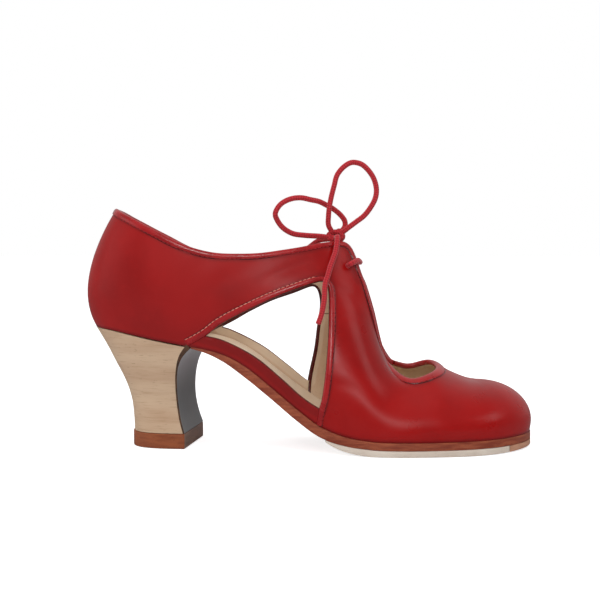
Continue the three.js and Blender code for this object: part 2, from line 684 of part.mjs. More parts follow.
// Everything behind the breast of the heel, less a depth.
function behindBreast(depth) {
  const seatZ = featherHeight(BREAST_SEAT * LENGTH);
  const curve = [];
  for (let i = 0; i <= 2 * HEEL_RINGS; i += 1) {
    const drop = i / (2 * HEEL_RINGS);
    curve.push(new THREE.Vector2(heelCurve(drop, 'breast') * LENGTH - depth,
      THREE.MathUtils.lerp(seatZ, LIFT_HEIGHT, drop)));
  }
  const outline = [new THREE.Vector2(curve[0].x, SEAT_HEIGHT + OVERSHOOT), ...curve,
    new THREE.Vector2(curve.at(-1).x, 0), new THREE.Vector2(-OVERSHOOT, 0),
    new THREE.Vector2(-OVERSHOOT, SEAT_HEIGHT + OVERSHOOT)];
  return sidePrism(outline, -BALL_WIDTH, BALL_WIDTH,
    new THREE.Matrix4().makeShear(0, 0, LIFT_TURN, 0, 0, 0));
}

function heelBody() {
  return heelShape().intersect(behindBreast(BREAST_COVER + SEAM_GAP));
}

function breastCoverBody() {
  return heelShape().subtract(behindBreast(BREAST_COVER));
}

function liftBody() {
  const centre = LIFT_FRONT * LENGTH - LIFT_DEPTH;
  const ring = (inset, z) => {
    const outline = heelPairs.map((pair) => {
      const y = pair.foot.across * (LIFT_WIDTH / 2 - inset);
      const forward = pair.foot.forward;
      return new THREE.Vector3(
        centre + inset + (LIFT_DEPTH - 2 * inset) * forward + LIFT_TURN * y * forward, y, z);
    });
    const first = outline[0];
    const last = outline.at(-1);
    for (let i = 1; i < HEEL_BREAST_STEPS; i += 1) {
      outline.push(last.clone().lerp(first, i / HEEL_BREAST_STEPS));
    }
    return outline;
  };
  return loft([ring(0, LIFT_HEIGHT), ring(0, LIFT_CHAMFER), ring(LIFT_CHAMFER, 0)]);
}

// Lace
function cordAlong(points, diameter, steps) {
  const section = new THREE.Shape(new THREE.EllipseCurve(0, 0, diameter / 2, diameter / 2, 0, 2 * Math.PI)
    .getPoints(CORD_SIDES).slice(0, -1));
  return new THREE.ExtrudeGeometry(section,
    { steps, bevelEnabled: false, extrudePath: new THREE.CatmullRomCurve3(points) });
}

const knotFoot = sidePoint(KNOT);
const knotCentre = new THREE.Vector3(knotFoot.x, KNOT.aside * BALL_WIDTH, knotFoot.y);

function fromKnot(rows) {
  return named(BOW_COLUMNS, rows).map((row) => knotCentre.clone().add(
    new THREE.Vector3(row.forward * BOW, row.aside * BOW, row.up * BOW)));
}

// A lace leaves the knot square to its surface, in the direction of its first point.
function onKnot(point) {
  const away = point.clone().sub(knotCentre).setLength(KNOT_RADIUS + SEAM_GAP);
  return knotCentre.clone().add(away);
}

function loopPath(rows) {
  const points = fromKnot(rows);
  return [onKnot(points[0]), ...points, onKnot(points.at(-1))];
}

// Clear distance from the last's surface to the middle of a lace that lies on the leather.
const LACE_REST = BINDING_RISE + SEAM_GAP + LACE / 2;

function hangingPath() {
  const lying = named(EDGE_COLUMNS, HANGING_ROWS).map((row) => {
    const aim = sidePoint(row);
    const { u, t } = placeOnSide(aim.x, aim.y, -1);
    return lastPoint(u, t).addScaledVector(surfaceNormal(u, t), LACE_REST);
  });
  const [over] = fromKnot(HANGING_START_ROWS);
  return [onKnot(over), over, ...lying];
}

function innerEndPath() {
  const points = fromKnot(INNER_END_ROWS);
  return [onKnot(points[0]), ...points];
}

// Place round the loop whose crest point lies at a given share of the length.
function crestPlace(along) {
  let rear = 0;
  let front = TOE_INDEX;
  for (let step = 0; step < HALVINGS; step += 1) {
    const mid = (rear + front) / 2;
    if (lastPoint(mid, 1).x < along * LENGTH) {
      rear = mid;
    } else {
      front = mid;
    }
  }
  return rear;
}

// The bar leaves each eyelet just outside the leather and crosses the throat over its binding.
function barPath() {
  const crest = crestPlace(BAR_CREST);
  const halfPath = (eyelet) => {
    const aim = sidePoint(eyelet);
    const { u, t } = placeOnSide(aim.x, aim.y, eyelet.side);
    const crestU = eyelet.side < 0 ? crest : LOOP_LENGTH - crest;
    return BAR_SHARES.map((share) => {
      const v = THREE.MathUtils.lerp(u, crestU, share);
      const w = THREE.MathUtils.lerp(t, 1, share);
      return lastPoint(v, w).addScaledVector(surfaceNormal(v, w), LACE_REST);
    });
  };
  return [...halfPath(EYELETS[0]), ...halfPath(EYELETS[1]).reverse()];
}

// Inside a strap, from under the knot to just behind its eyelet.
function strandPath(eyelet) {
  const { point, normal } = eyeletPlace(eyelet);
  const behind = point.clone().addScaledVector(normal, -(WALL + LACE / 2 + 2 * SEAM_GAP));
  const middle = behind.clone().lerp(knotCentre, 0.5);
  middle.y *= STRAND_INWARD;
  return [onKnot(middle), middle, behind];
}

// Knot: a tight turn round the crossing of the bow
function knotBody() {
  const thickness = KNOT_TURN * KNOT_RADIUS;
  const turn = new THREE.TorusGeometry(KNOT_RADIUS - thickness, thickness, 8, 18);
  turn.applyMatrix4(new THREE.Matrix4().makeRotationFromEuler(
    new THREE.Euler(KNOT_TILT.forward, KNOT_TILT.aside, 0)));
  const core = new THREE.SphereGeometry(KNOT_CORE * KNOT_RADIUS, 14, 10);
  turn.translate(...knotCentre);
  core.translate(...knotCentre);
  return solidOf(turn).add(solidOf(core));
}

const LEATHER = new THREE.MeshStandardMaterial({ color: 0x9b1717, roughness: 0.42 });
const SOCK = new THREE.MeshStandardMaterial({ color: 0xc9b08a, roughness: 0.7 });
const TAN = new THREE.MeshStandardMaterial({ color: 0x8c4a30, roughness: 0.6 });
const CREAM = new THREE.MeshStandardMaterial({ color: 0xcfc7ba, roughness: 0.8 });
const WOOD = new THREE.MeshStandardMaterial({ color: 0xb69a78, roughness: 0.65 });
const GREY = new THREE.MeshStandardMaterial({ color: 0x55585a, roughness: 0.5 });
const CORD = new THREE.MeshStandardMaterial({ color: 0xb02030, roughness: 0.8 });

const group = new THREE.Group();

function place(name, geometry, material) {
  const mesh = new THREE.Mesh(geometry, material);
  mesh.name = name;
  group.add(mesh);
}

place('upper', geometryOf(upperBody()), LEATHER);
place('insole', geometryOf(insoleBody()), SOCK);
place('outsole', geometryOf(outsoleBody()), TAN);
place('half_sole', geometryOf(treadPiece(HALF_SOLE_BACK * LENGTH, TOE_PIECE_BACK * LENGTH)), CREAM);
place('toe_piece',
  geometryOf(treadPiece(TOE_PIECE_BACK * LENGTH + SEAM_GAP, LENGTH + 2 * SOLE_EDGE)), TAN);
place('heel_block', geometryOf(heelBody()), WOOD);
place('breast_cover', geometryOf(breastCoverBody()), GREY);
place('heel_lift', geometryOf(liftBody()), TAN);

// The frame's origin is the middle of the shoe's underside, the lace left out.
const bounds = new THREE.Box3().setFromObject(group);
const middle = bounds.getCenter(new THREE.Vector3());
const shift = new THREE.Vector3(-middle.x, -middle.y, -bounds.min.z);

place('lace_bar', cordAlong(barPath(), LACE, 24), CORD);
place('lace_knot', geometryOf(knotBody()), CORD);
place('lace_loop_rear', cordAlong(loopPath(REAR_LOOP_ROWS), LACE, 44), CORD);
place('lace_loop_front', cordAlong(loopPath(FRONT_LOOP_ROWS), LACE, 52), CORD);
place('lace_end_front', cordAlong(hangingPath(), LACE, 24), CORD);
place('lace_end_inner', cordAlong(innerEndPath(), LACE, 14), CORD);
for (const eyelet of EYELETS) {
  place(`lace_strand_${eyelet.name}`, cordAlong(strandPath(eyelet), LACE, 8), CORD);
}

for (const mesh of group.children) {
  mesh.geometry.translate(shift.x, shift.y, shift.z);
}

export default group;
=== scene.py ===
# Looks of the right flamenco shoe: fine leather upper with rolled binding, wood heel, soles, lace.
# The shape functions work in millimetres with x from the back of the heel; to_row() turns their
# points into the shared frame, in metres.

import math
import bmesh
import bpy
import numpy as np
from mathutils import Matrix, Vector
from mathutils.bvhtree import BVHTree


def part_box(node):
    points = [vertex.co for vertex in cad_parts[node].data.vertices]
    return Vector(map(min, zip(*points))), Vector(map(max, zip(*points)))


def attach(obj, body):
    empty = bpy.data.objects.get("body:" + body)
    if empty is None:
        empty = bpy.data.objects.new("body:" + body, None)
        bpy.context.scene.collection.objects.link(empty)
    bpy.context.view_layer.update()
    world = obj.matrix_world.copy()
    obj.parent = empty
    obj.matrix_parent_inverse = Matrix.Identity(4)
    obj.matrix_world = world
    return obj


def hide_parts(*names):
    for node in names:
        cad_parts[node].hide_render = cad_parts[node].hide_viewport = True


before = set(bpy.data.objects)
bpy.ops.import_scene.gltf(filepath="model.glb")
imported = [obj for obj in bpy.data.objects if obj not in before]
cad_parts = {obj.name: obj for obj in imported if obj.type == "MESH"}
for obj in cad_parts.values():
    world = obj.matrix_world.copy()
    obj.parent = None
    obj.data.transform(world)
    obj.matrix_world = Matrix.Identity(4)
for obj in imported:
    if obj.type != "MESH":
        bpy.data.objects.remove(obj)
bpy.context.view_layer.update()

# Sizes of the part, as in its source; the lift alone is 1 mm deeper than there
LENGTH = 236.0
BALL_WIDTH = 77.0
SEAT_HEIGHT = 64.6
BACK_HEIGHT = 62.0
WALL = 1.9
BINDING_RISE = 0.5
OUTSOLE = 4.2
HALF_SOLE = 3.4
INSOLE = 2.4
SOLE_EDGE = 0.4
SEAM_GAP = 0.3
LIFT_WIDTH = 42.0
LIFT_DEPTH = 32.5
LIFT_HEIGHT = 8.0
BREAST_COVER = 0.9
LACE = 2.7
EYELET = 3.4
BOW = 50.0
KNOT_RADIUS = 3.3
SOLE_STACK = OUTSOLE + HALF_SOLE

# Places along the foot, shares of LENGTH, and slopes to the side
BREAST_SEAT = 0.2465
HALF_SOLE_BACK = 0.535
TOE_PIECE_BACK = 0.943
LIFT_FRONT = 0.2250
LIFT_TURN = 0.105
COLLAR_LEAN = 0.083

# Feather line: along, share of the drop from the seat to the ball
FEATHER_ROWS = [
    (0.000, 1.000), (0.050, 0.985), (0.095, 0.952), (0.140, 0.914), (0.185, 0.877),
    (0.223, 0.848), (0.265, 0.815), (0.303, 0.770), (0.358, 0.647), (0.414, 0.465),
    (0.469, 0.282), (0.521, 0.131), (0.559, 0.065), (0.592, 0.030), (0.636, 0.006),
    (0.700, 0.000), (0.850, 0.002), (1.000, 0.012),
]

# Last: along, lateral, medial, crest along, crest across, crest up, fullness, belly
LAST_ROWS = [
    (0.000, 0.013, 0.013, 0.169, 0.000, 1.479, 1.95, 0.150),
    (0.014, -0.162, 0.182, 0.169, 0.000, 1.479, 2.00, 0.145),
    (0.051, -0.286, 0.299, 0.174, 0.000, 1.482, 2.15, 0.130),
    (0.112, -0.351, 0.351, 0.195, 0.000, 1.514, 2.40, 0.110),
    (0.186, -0.364, 0.338, 0.246, 0.000, 1.565, 2.50, 0.090),
    (0.263, -0.351, 0.299, 0.314, 0.000, 1.623, 2.45, 0.090),
    (0.331, -0.331, 0.266, 0.390, 0.000, 1.746, 2.30, 0.100),
    (0.398, -0.338, 0.266, 0.466, 0.000, 1.852, 2.10, 0.120),
    (0.462, -0.370, 0.305, 0.534, 0.000, 1.846, 1.95, 0.130),
    (0.521, -0.418, 0.366, 0.583, 0.006, 1.681, 1.85, 0.110),
    (0.572, -0.458, 0.425, 0.617, 0.016, 1.437, 1.85, 0.090),
    (0.619, -0.486, 0.464, 0.640, 0.032, 1.123, 1.85, 0.075),
    (0.661, -0.505, 0.491, 0.667, 0.045, 0.672, 1.90, 0.060),
    (0.708, -0.506, 0.509, 0.712, 0.065, 0.594, 1.90, 0.055),
    (0.763, -0.486, 0.517, 0.767, 0.084, 0.612, 1.95, 0.050),
    (0.818, -0.457, 0.501, 0.816, 0.091, 0.515, 2.10, 0.050),
    (0.869, -0.413, 0.468, 0.847, 0.084, 0.460, 2.25, 0.050),
    (0.911, -0.351, 0.410, 0.862, 0.078, 0.444, 2.40, 0.050),
    (0.947, -0.262, 0.335, 0.867, 0.078, 0.443, 2.48, 0.045),
    (0.975, -0.156, 0.252, 0.869, 0.078, 0.443, 2.48, 0.040),
    (0.992, -0.049, 0.164, 0.869, 0.078, 0.443, 2.48, 0.040),
    (0.999, 0.060, 0.060, 0.869, 0.078, 0.443, 2.48, 0.040),
]

# Lines seen from the side: along, height over the feather line in shares of BACK_HEIGHT
COLLAR_ROWS = [
    (-0.060, 1.040), (0.036, 1.034), (0.078, 0.984), (0.125, 0.925), (0.160, 0.885),
    (0.194, 0.841), (0.238, 0.802), (0.290, 0.803), (0.345, 0.897), (0.389, 1.026),
    (0.434, 1.192), (0.478, 1.354), (0.522, 1.507), (0.555, 1.577), (0.573, 1.602),
    (0.589, 1.570), (0.602, 1.462), (0.614, 1.325),
]
OUTER_WINDOW_ROWS = [
    (0.226, 0.000), (0.267, 0.117), (0.307, 0.278), (0.387, 0.623), (0.434, 0.849),
    (0.478, 1.045), (0.515, 1.190), (0.530, 1.225), (0.540, 1.190), (0.543, 1.060),
    (0.542, 0.820), (0.538, 0.560), (0.530, 0.284), (0.521, 0.129), (0.516, 0.000),
]
INNER_WINDOW_ROWS = [
    (0.230, 0.000), (0.270, 0.112), (0.310, 0.240), (0.344, 0.385), (0.399, 0.645),
    (0.453, 0.886), (0.490, 1.050), (0.503, 1.085), (0.511, 1.049), (0.514, 0.942),
    (0.506, 0.712), (0.499, 0.498), (0.488, 0.277), (0.483, 0.153), (0.480, 0.000),
]
BAND_ROWS = [
    (0.180, 0.100), (0.270, 0.110), (0.312, 0.116), (0.377, 0.138), (0.432, 0.142),
    (0.488, 0.132), (0.560, 0.128),
]
INNER_BAND_RAISE = 0.018
# The throat from above: a slot that narrows towards the top of the ridge, and an oval bowl
# that is a little shorter than in the source
SLOT_FROM, SLOT_TO, SLOT_ACROSS, SLOT_HALF = 0.53, 0.71, 0.014, 0.105
SLOT_PINCH = 3.4                 # how much nearer the ridge each edge runs at its top, in mm
SLOT_FULL, SLOT_FULL_RUN = 150.0, 12.0   # the slot has its full width from here on, in mm
BOWL_ALONG, BOWL_ACROSS, BOWL_HALF_LENGTH, BOWL_HALF = 0.7325, -0.010, 0.0535, 0.230
LATERAL_EYELET = (0.583, 1.419, -1)
MEDIAL_EYELET = (0.586, 1.419, 1)

# Outsole: along, share of its thickness
OUTSOLE_ROWS = [
    (0.240, 0.26), (0.265, 0.42), (0.303, 0.86), (0.353, 1.40), (0.419, 1.48), (0.487, 1.48),
    (0.530, 1.36), (0.572, 1.17), (0.619, 1.03), (0.700, 1.00), (1.010, 1.00),
]
TREAD_FLAT_FROM, TREAD_FLAT_TO = 0.645, 0.830
TREAD_BACK_RISE, TREAD_TOE_RISE = 0.90, 0.27
ARCH_PAD = 2.4                   # how much thicker the sock is under the arch, in mm
ARCH_ALONG = [(40, 0), (80, 1), (128, 1), (160, 0)]   # x, share of the pad
ARCH_ACROSS = (-4, 26)           # y where it starts, and the run up to its full height
# Bevels of the plates, in mm
SOCK_BEVEL, OUTSOLE_BEVEL, TREAD_BEVEL = 0.35, 0.3, 0.25
# Edges of the lift: inset, distance from its upper or lower face, in mm
LIFT_TOP_EDGE = [(0.25, 0.0), (0.07, 0.07), (0.0, 0.25)]
LIFT_FOOT_EDGE = [(0.03, 0.3), (0.12, 0.1), (0.3, 0.0)]
# Heel: drop, rear, breast, half width
HEEL_ROWS = [
    (0.000, 0.000, BREAST_SEAT, 0.362), (0.060, 0.009, 0.2345, 0.354), (0.120, 0.018, 0.2250, 0.345),
    (0.200, 0.029, 0.2175, 0.331), (0.330, 0.045, 0.2113, 0.303), (0.480, 0.064, 0.2090, 0.274),
    (0.600, 0.076, 0.2095, 0.259), (0.700, 0.083, 0.2113, 0.254), (0.850, 0.088, 0.2165, 0.262),
    (1.000, 0.090, LIFT_FRONT, 0.273),
]
HEEL_FOOT_FULLNESS = 2.8

# Lace: the knot's place, and rows forward, aside and up from it in shares of BOW
KNOT_ALONG, KNOT_ASIDE, KNOT_UP = 0.552, -0.026, 1.615
REAR_LOOP_ROWS = [
    (-0.17, -0.05, 0.02), (-0.32, -0.09, 0.03), (-0.45, -0.12, 0.05), (-0.55, -0.15, 0.11),
    (-0.61, -0.17, 0.19), (-0.63, -0.20, 0.26), (-0.60, -0.19, 0.33), (-0.55, -0.17, 0.38),
    (-0.46, -0.15, 0.42), (-0.36, -0.12, 0.43), (-0.26, -0.08, 0.41), (-0.17, -0.03, 0.39),
    (-0.09, 0.03, 0.35), (-0.02, 0.08, 0.31), (0.06, 0.12, 0.24), (0.10, 0.12, 0.18),
    (0.10, 0.11, 0.12),
]
FRONT_LOOP_ROWS = [
    (-0.07, -0.05, 0.14), (-0.07, -0.07, 0.23), (-0.06, -0.08, 0.33),
    (-0.04, -0.07, 0.44), (-0.01, -0.06, 0.56), (0.02, -0.04, 0.67), (0.08, -0.02, 0.75),
    (0.15, 0.01, 0.80), (0.20, 0.03, 0.81), (0.28, 0.05, 0.79), (0.35, 0.06, 0.73),
    (0.41, 0.06, 0.64), (0.44, 0.05, 0.53), (0.43, 0.03, 0.43), (0.38, 0.01, 0.33),
    (0.31, -0.01, 0.24), (0.22, -0.03, 0.17), (0.14, -0.05, 0.11),
]
HANGING_START = (0.03, -0.17, 0.01)
# The hanging end lies on the outer side: along, height over the feather line
HANGING_ROWS = [
    (0.551, 1.490), (0.545, 1.405), (0.540, 1.335), (0.536, 1.265),
    (0.531, 1.190), (0.530, 1.070), (0.527, 0.975), (0.522, 0.890), (0.518, 0.840),
]
BAR_CREST = 0.619
BAR_STEPS = [(0.0, 1.0), (0.3, 0.95), (0.55, 0.3)]   # share of the way to the crest, rest height
STRAND_INWARD = 0.9
LACE_REST = BINDING_RISE + SEAM_GAP + LACE / 2
LACE_FULLNESS = 1.06
BRAID_PITCH = 2.6
BRAID_RELIEF = 0.035             # share of the lace's radius
INNER_END_ROWS = [
    (-0.18, 0.13, -0.03), (-0.27, 0.19, -0.09), (-0.36, 0.23, -0.17),
    (-0.42, 0.24, -0.26), (-0.44, 0.25, -0.36),
]


# Curves

def hermite(start, end, start_slope, end_slope, t):
    s = 1 - t
    return (start * (1 + 2 * t) * s * s + start_slope * t * s * s
            + end * t * t * (3 - 2 * t) - end_slope * t * t * s)


def curve_through(rows):
    """Smooth curve through the rows, read at places in their first column."""
    table = np.array(rows, float)
    at = table[:, 0]
    values = table[:, 1:]
    slopes = np.zeros_like(values)
    gaps = np.diff(at)[:, None]
    rises = np.diff(values, axis=0) / gaps
    slopes[0] = rises[0]
    slopes[-1] = rises[-1]
    slopes[1:-1] = (rises[1:] * gaps[:-1] + rises[:-1] * gaps[1:]) / (gaps[:-1] + gaps[1:])

    def read(place, column=0):
        place = np.asarray(place, float)
        i = np.clip(np.searchsorted(at, place, side="left") - 1, 0, len(at) - 2)
        span = at[i + 1] - at[i]
        t = np.clip((place - at[i]) / span, 0, 1)
        return hermite(values[i, column], values[i + 1, column],
                       slopes[i, column] * span, slopes[i + 1, column] * span, t)

    return read


def spline_points(points, count):
    """count + 1 points of the uniform spline through the given points."""
    points = np.asarray(points, float)
    last = len(points) - 1
    place = np.linspace(0, last, count + 1)
    i = np.minimum(np.floor(place).astype(int), last - 1)
    t = (place - i)[:, None]
    before = points[np.maximum(i - 1, 0)]
    start = points[i]
    end = points[i + 1]
    after = points[np.minimum(i + 2, last)]
    return hermite(start, end, (end - before) / 2, (after - start) / 2, t)


def unit(rows):
    return rows / np.maximum(np.linalg.norm(rows, axis=-1, keepdims=True), 1e-9)


def directions(points, closed):
    """Unit tangents of a line at its points."""
    if closed:
        return unit(np.roll(points, -1, 0) - np.roll(points, 1, 0))
    return unit(np.gradient(points, axis=0))


def running_length(points):
    return np.concatenate([[0], np.cumsum(np.linalg.norm(np.diff(points, axis=0), axis=1))])


def read_line(places, run, points):
    """Points of a line at places along it, where run is its running length."""
    return np.stack([np.interp(places, run, column) for column in points.T], -1)


def even_points(points, step):
    """The same line with points one step apart."""
    points = np.asarray(points, float)
    run = running_length(points)
    count = max(2, int(round(run[-1] / step)))
    return read_line(np.linspace(0, run[-1], count + 1), run, points)


def rounded_route(points, count):
    """Centripetal spline through the points, as the source's routes are."""
    points = np.asarray(points, float)
    padded = np.vstack([2 * points[0] - points[1], points, 2 * points[-1] - points[-2]])
    last = len(points) - 1
    route = []
    for place in np.linspace(0, last, count + 1):
        i = min(int(place), last - 1)
        p0, p1, p2, p3 = padded[i:i + 4]
        d0, d1, d2 = (max(np.linalg.norm(b - a) ** 0.5, 1e-4)
                      for a, b in ((p0, p1), (p1, p2), (p2, p3)))
        start_slope = ((p1 - p0) / d0 - (p2 - p0) / (d0 + d1) + (p2 - p1) / d1) * d1
        end_slope = ((p2 - p1) / d1 - (p3 - p1) / (d1 + d2) + (p3 - p2) / d2) * d1
        route.append(hermite(p1, p2, start_slope, end_slope, place - i))
    return np.array(route)


def smoothed(rows, passes, closed):
    rows = np.asarray(rows, float).copy()
    for _ in range(passes):
        blended = (np.roll(rows, 1, 0) + 2 * rows + np.roll(rows, -1, 0)) / 4
        if not closed:
            blended[0] = rows[0]
            blended[-1] = rows[-1]
        rows = blended
    return rows


def ramp(value, start, run):
    """0 up to start, 1 from start + run on."""
    return np.clip((value - start) / run, 0, 1)


def turning_point(low, high, is_before):
    """The place between low and high where is_before turns false."""
    for _ in range(30):
        middle = (low + high) / 2
        if is_before(middle):
            low = middle
        else:
            high = middle
    return low


feather_curve = curve_through(FEATHER_ROWS)
outsole_curve = curve_through(OUTSOLE_ROWS)
heel_curve = curve_through(HEEL_ROWS)


def feather_height(x):
    return SOLE_STACK + (SEAT_HEIGHT - SOLE_STACK) * feather_curve(np.asarray(x) / LENGTH)


# The last

last_table = np.array(LAST_ROWS)
LATERAL_SIDE = last_table[:, [0, 1, 3, 4, 5, 6, 7]]
MEDIAL_SIDE = last_table[:, [0, 2, 3, 4, 5, 6, 7]]
LAST_LOOP = np.concatenate([LATERAL_SIDE, MEDIAL_SIDE[-2:0:-1]])
LOOP_LENGTH = len(LAST_LOOP)
TOE_INDEX = len(LAST_ROWS) - 1
BELLY_PEAK = 0.08192


def last_point(u, t):
    """Points of the last: u round the loop, t from the feather line to the crest."""
    u = np.asarray(u, float) % LOOP_LENGTH
    t = np.asarray(t, float)
    i = np.floor(u).astype(int)
    before, start, end, after = (LAST_LOOP[(i + step) % LOOP_LENGTH] for step in (-1, 0, 1, 2))
    section = hermite(start, end, (end - before) / 2, (after - start) / 2, (u - i)[..., None])
    x = section[..., 0] * LENGTH
    y = section[..., 1] * BALL_WIDTH
    crest_x = section[..., 2] * LENGTH
    crest_y = section[..., 3] * BALL_WIDTH
    crest_z = feather_height(crest_x) + section[..., 4] * BACK_HEIGHT
    power = 2 / section[..., 5]
    out = (np.maximum(np.cos(math.pi / 2 * t), 0) ** power
           + section[..., 6] * t * (1 - t) ** 4 / BELLY_PEAK)
    up = np.maximum(np.sin(math.pi / 2 * t), 0) ** power
    foot = feather_height(x)
    return np.stack([crest_x + (x - crest_x) * out, crest_y + (y - crest_y) * out,
                     foot + (crest_z - foot) * up], -1)


def last_normal(u, t, step=0.02):
    u = np.asarray(u, float)
    t = np.asarray(t, float)
    # Over the crest the surface goes on down the other side.
    over = t + step > 1
    high = np.where(over, 2 - (t + step), t + step)
    high_u = np.where(over, LOOP_LENGTH - u, u)
    round_the_loop = last_point(u + step, t) - last_point(u - step, t)
    rise = last_point(high_u, high) - last_point(u, np.maximum(t - step, 0))
    return unit(np.cross(round_the_loop, rise))


def side_point(along, up):
    x = along * LENGTH
    return np.array([x, float(feather_height(x)) + up * BACK_HEIGHT])


def side_line(rows, count, raised=0.0):
    return spline_points([side_point(along, up + raised) for along, up in rows], count)


def place_on_side(x, z, side):
    """u and t of the point of the last at x and z on one side of it."""
    def to_u(v):
        return v if side < 0 else LOOP_LENGTH - v

    def at_height(v):
        return turning_point(0.0, 1.0, lambda t: last_point(to_u(v), t)[2] < z)

    v = turning_point(0.0, float(TOE_INDEX), lambda v: last_point(to_u(v), at_height(v))[0] < x)
    return to_u(v), at_height(v)


# The shared frame: the part is centred on its underside, so two of its nodes give the shift.
MM = 0.001
sole_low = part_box("half_sole")[0]
lift_low, lift_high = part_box("heel_lift")
SHIFT = np.array([sole_low.x / MM - HALF_SOLE_BACK * LENGTH,
                  (lift_low.y + lift_high.y) / 2 / MM, lift_low.z / MM])


def to_row(points):
    return (np.asarray(points, float) + SHIFT) * MM


# Meshes

def new_object(name, vertices, faces):
    """A smooth object from points in millimetres."""
    mesh = bpy.data.meshes.new(name)
    mesh.from_pydata(to_row(vertices).tolist(), [], faces)
    mesh.validate()
    mesh.update()
    mesh.shade_smooth()
    obj = bpy.data.objects.new(name, mesh)
    bpy.context.collection.objects.link(obj)
    return obj


def finish_piece(obj, slot_name, materials, *replaced):
    """Gives a piece its materials and hides the nodes that it stands for; its slot is not used."""
    for material in materials:
        obj.data.materials.append(material)
    if replaced:
        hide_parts(*replaced)
    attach(obj, "root")


def add_attribute(obj, name, values):
    attribute = obj.data.attributes.new(name, "FLOAT", "POINT")
    attribute.data.foreach_set("value", np.asarray(values, np.float32))


TUBE_END = 0.25                  # how far the end of a tube swells out, in shares of its radius


def grid_faces(rows, columns, closed=True, first=0, flip=False):
    """Quads of a grid whose vertices run row by row."""
    faces = []
    last = columns if closed else columns - 1
    for r in range(rows - 1):
        for c in range(last):
            d = (c + 1) % columns
            quad = (first + r * columns + c, first + r * columns + d,
                    first + (r + 1) * columns + d, first + (r + 1) * columns + c)
            faces.append(quad[::-1] if flip else quad)
    return faces


def end_fans(rows, columns):
    """Triangles that close a grid of rings with the two points that follow it."""
    top = rows * columns
    start = top - columns
    faces = []
    for c in range(columns):
        d = (c + 1) % columns
        faces.append((top, d, c))
        faces.append((top + 1, start + c, start + d))
    return faces


def tube(name, path, radius, sides, closed=False):
    """A tube along a line of points, with the running length and angle as attributes."""
    path = np.asarray(path, float)
    count = len(path)
    tangents = directions(path, closed)
    side = unit(np.cross(tangents[0], [0.3, 0.2, 1.0]))
    side_rows = []
    for tangent in tangents:
        side = unit(side - tangent * np.dot(side, tangent))
        side_rows.append(side)
    side_rows = np.array(side_rows)
    up_rows = np.cross(tangents, side_rows)
    angles = np.linspace(0, 2 * math.pi, sides, endpoint=False)
    rings = path[:, None] + radius * (side_rows[:, None] * np.cos(angles)[None, :, None]
                                      + up_rows[:, None] * np.sin(angles)[None, :, None])
    vertices = rings.reshape(-1, 3)
    faces = grid_faces(count, sides)
    run = running_length(path)
    runs = np.repeat(run, sides)
    turns = np.tile(angles, count)
    if closed:
        start = (count - 1) * sides
        faces += [(start + c, start + (c + 1) % sides, (c + 1) % sides, c) for c in range(sides)]
    else:
        vertices = np.vstack([vertices, path[0] - tangents[0] * radius * TUBE_END,
                              path[-1] + tangents[-1] * radius * TUBE_END])
        runs = np.append(runs, [run[0], run[-1]])
        turns = np.append(turns, [0, 0])
        faces += end_fans(count, sides)
    obj = new_object(name, vertices, faces)
    add_attribute(obj, "run", runs)
    add_attribute(obj, "turn", turns)
    return obj


# Openings of the upper as distances: negative inside an opening

def polygon_distance(points, polygon):
    """Signed distance of 2D points to a closed polygon, negative inside."""
    best = np.full(len(points), 1e9)
    inside = np.zeros(len(points), bool)
    for a, b in zip(polygon, np.roll(polygon, -1, 0)):
        edge = b - a
        size = float(edge @ edge)
        if size < 1e-12:
            continue
        offset = points - a
        t = np.clip(offset @ edge / size, 0, 1)
        best = np.minimum(best, np.hypot(offset[:, 0] - t * edge[0], offset[:, 1] - t * edge[1]))
        crosses = (points[:, 1] < a[1]) != (points[:, 1] < b[1])
        if crosses.any():
            with np.errstate(divide="ignore", invalid="ignore"):
                x = a[0] + (points[:, 1] - a[1]) / edge[1] * edge[0]
            inside ^= crosses & (points[:, 0] < x)
    return np.where(inside, -best, best)


collar_line = side_line(COLLAR_ROWS, 120)
SKY = SEAT_HEIGHT + 3 * BACK_HEIGHT   # well over the shoe
OVERSHOOT = 60                   # how far the collar's cut goes on over the vamp
collar_polygon = np.vstack([collar_line, collar_line[-1] + [OVERSHOOT, 0],
                            [LENGTH, SKY], [collar_line[0][0], SKY]])


def window_polygon(rows, raised):
    edge = side_line(rows, 160)
    band = side_line(BAND_ROWS, 80, raised)
    over = edge[:, 1] > np.interp(edge[:, 0], band[:, 0], band[:, 1])
    kept = edge[over]
    under = band[(band[:, 0] > kept[0][0]) & (band[:, 0] < kept[-1][0])]
    return np.vstack([kept, under[::-1]])


outer_window = window_polygon(OUTER_WINDOW_ROWS, 0.0)
inner_window = window_polygon(INNER_WINDOW_ROWS, INNER_BAND_RAISE)


def throat_distance(x, y):
    """Distance to the slot with its bowl, seen from above."""
    from_x, to_x = SLOT_FROM * LENGTH, SLOT_TO * LENGTH
    dx = np.maximum(from_x - x, x - to_x)
    pinch = SLOT_PINCH * ramp(SLOT_FULL - x, 0, SLOT_FULL_RUN)
    dy = np.abs(y - SLOT_ACROSS * BALL_WIDTH) - (SLOT_HALF * BALL_WIDTH - pinch)
    slot = np.maximum(dx, dy)
    bx = (x - BOWL_ALONG * LENGTH) / (BOWL_HALF_LENGTH * LENGTH)
    by = (y - BOWL_ACROSS * BALL_WIDTH) / (BOWL_HALF * BALL_WIDTH)
    bowl = (np.hypot(bx, by) - 1) * BOWL_HALF_LENGTH * LENGTH
    return np.minimum(slot, bowl)


FAR_AWAY = 50.0                  # distance that stands for no opening near by, in mm


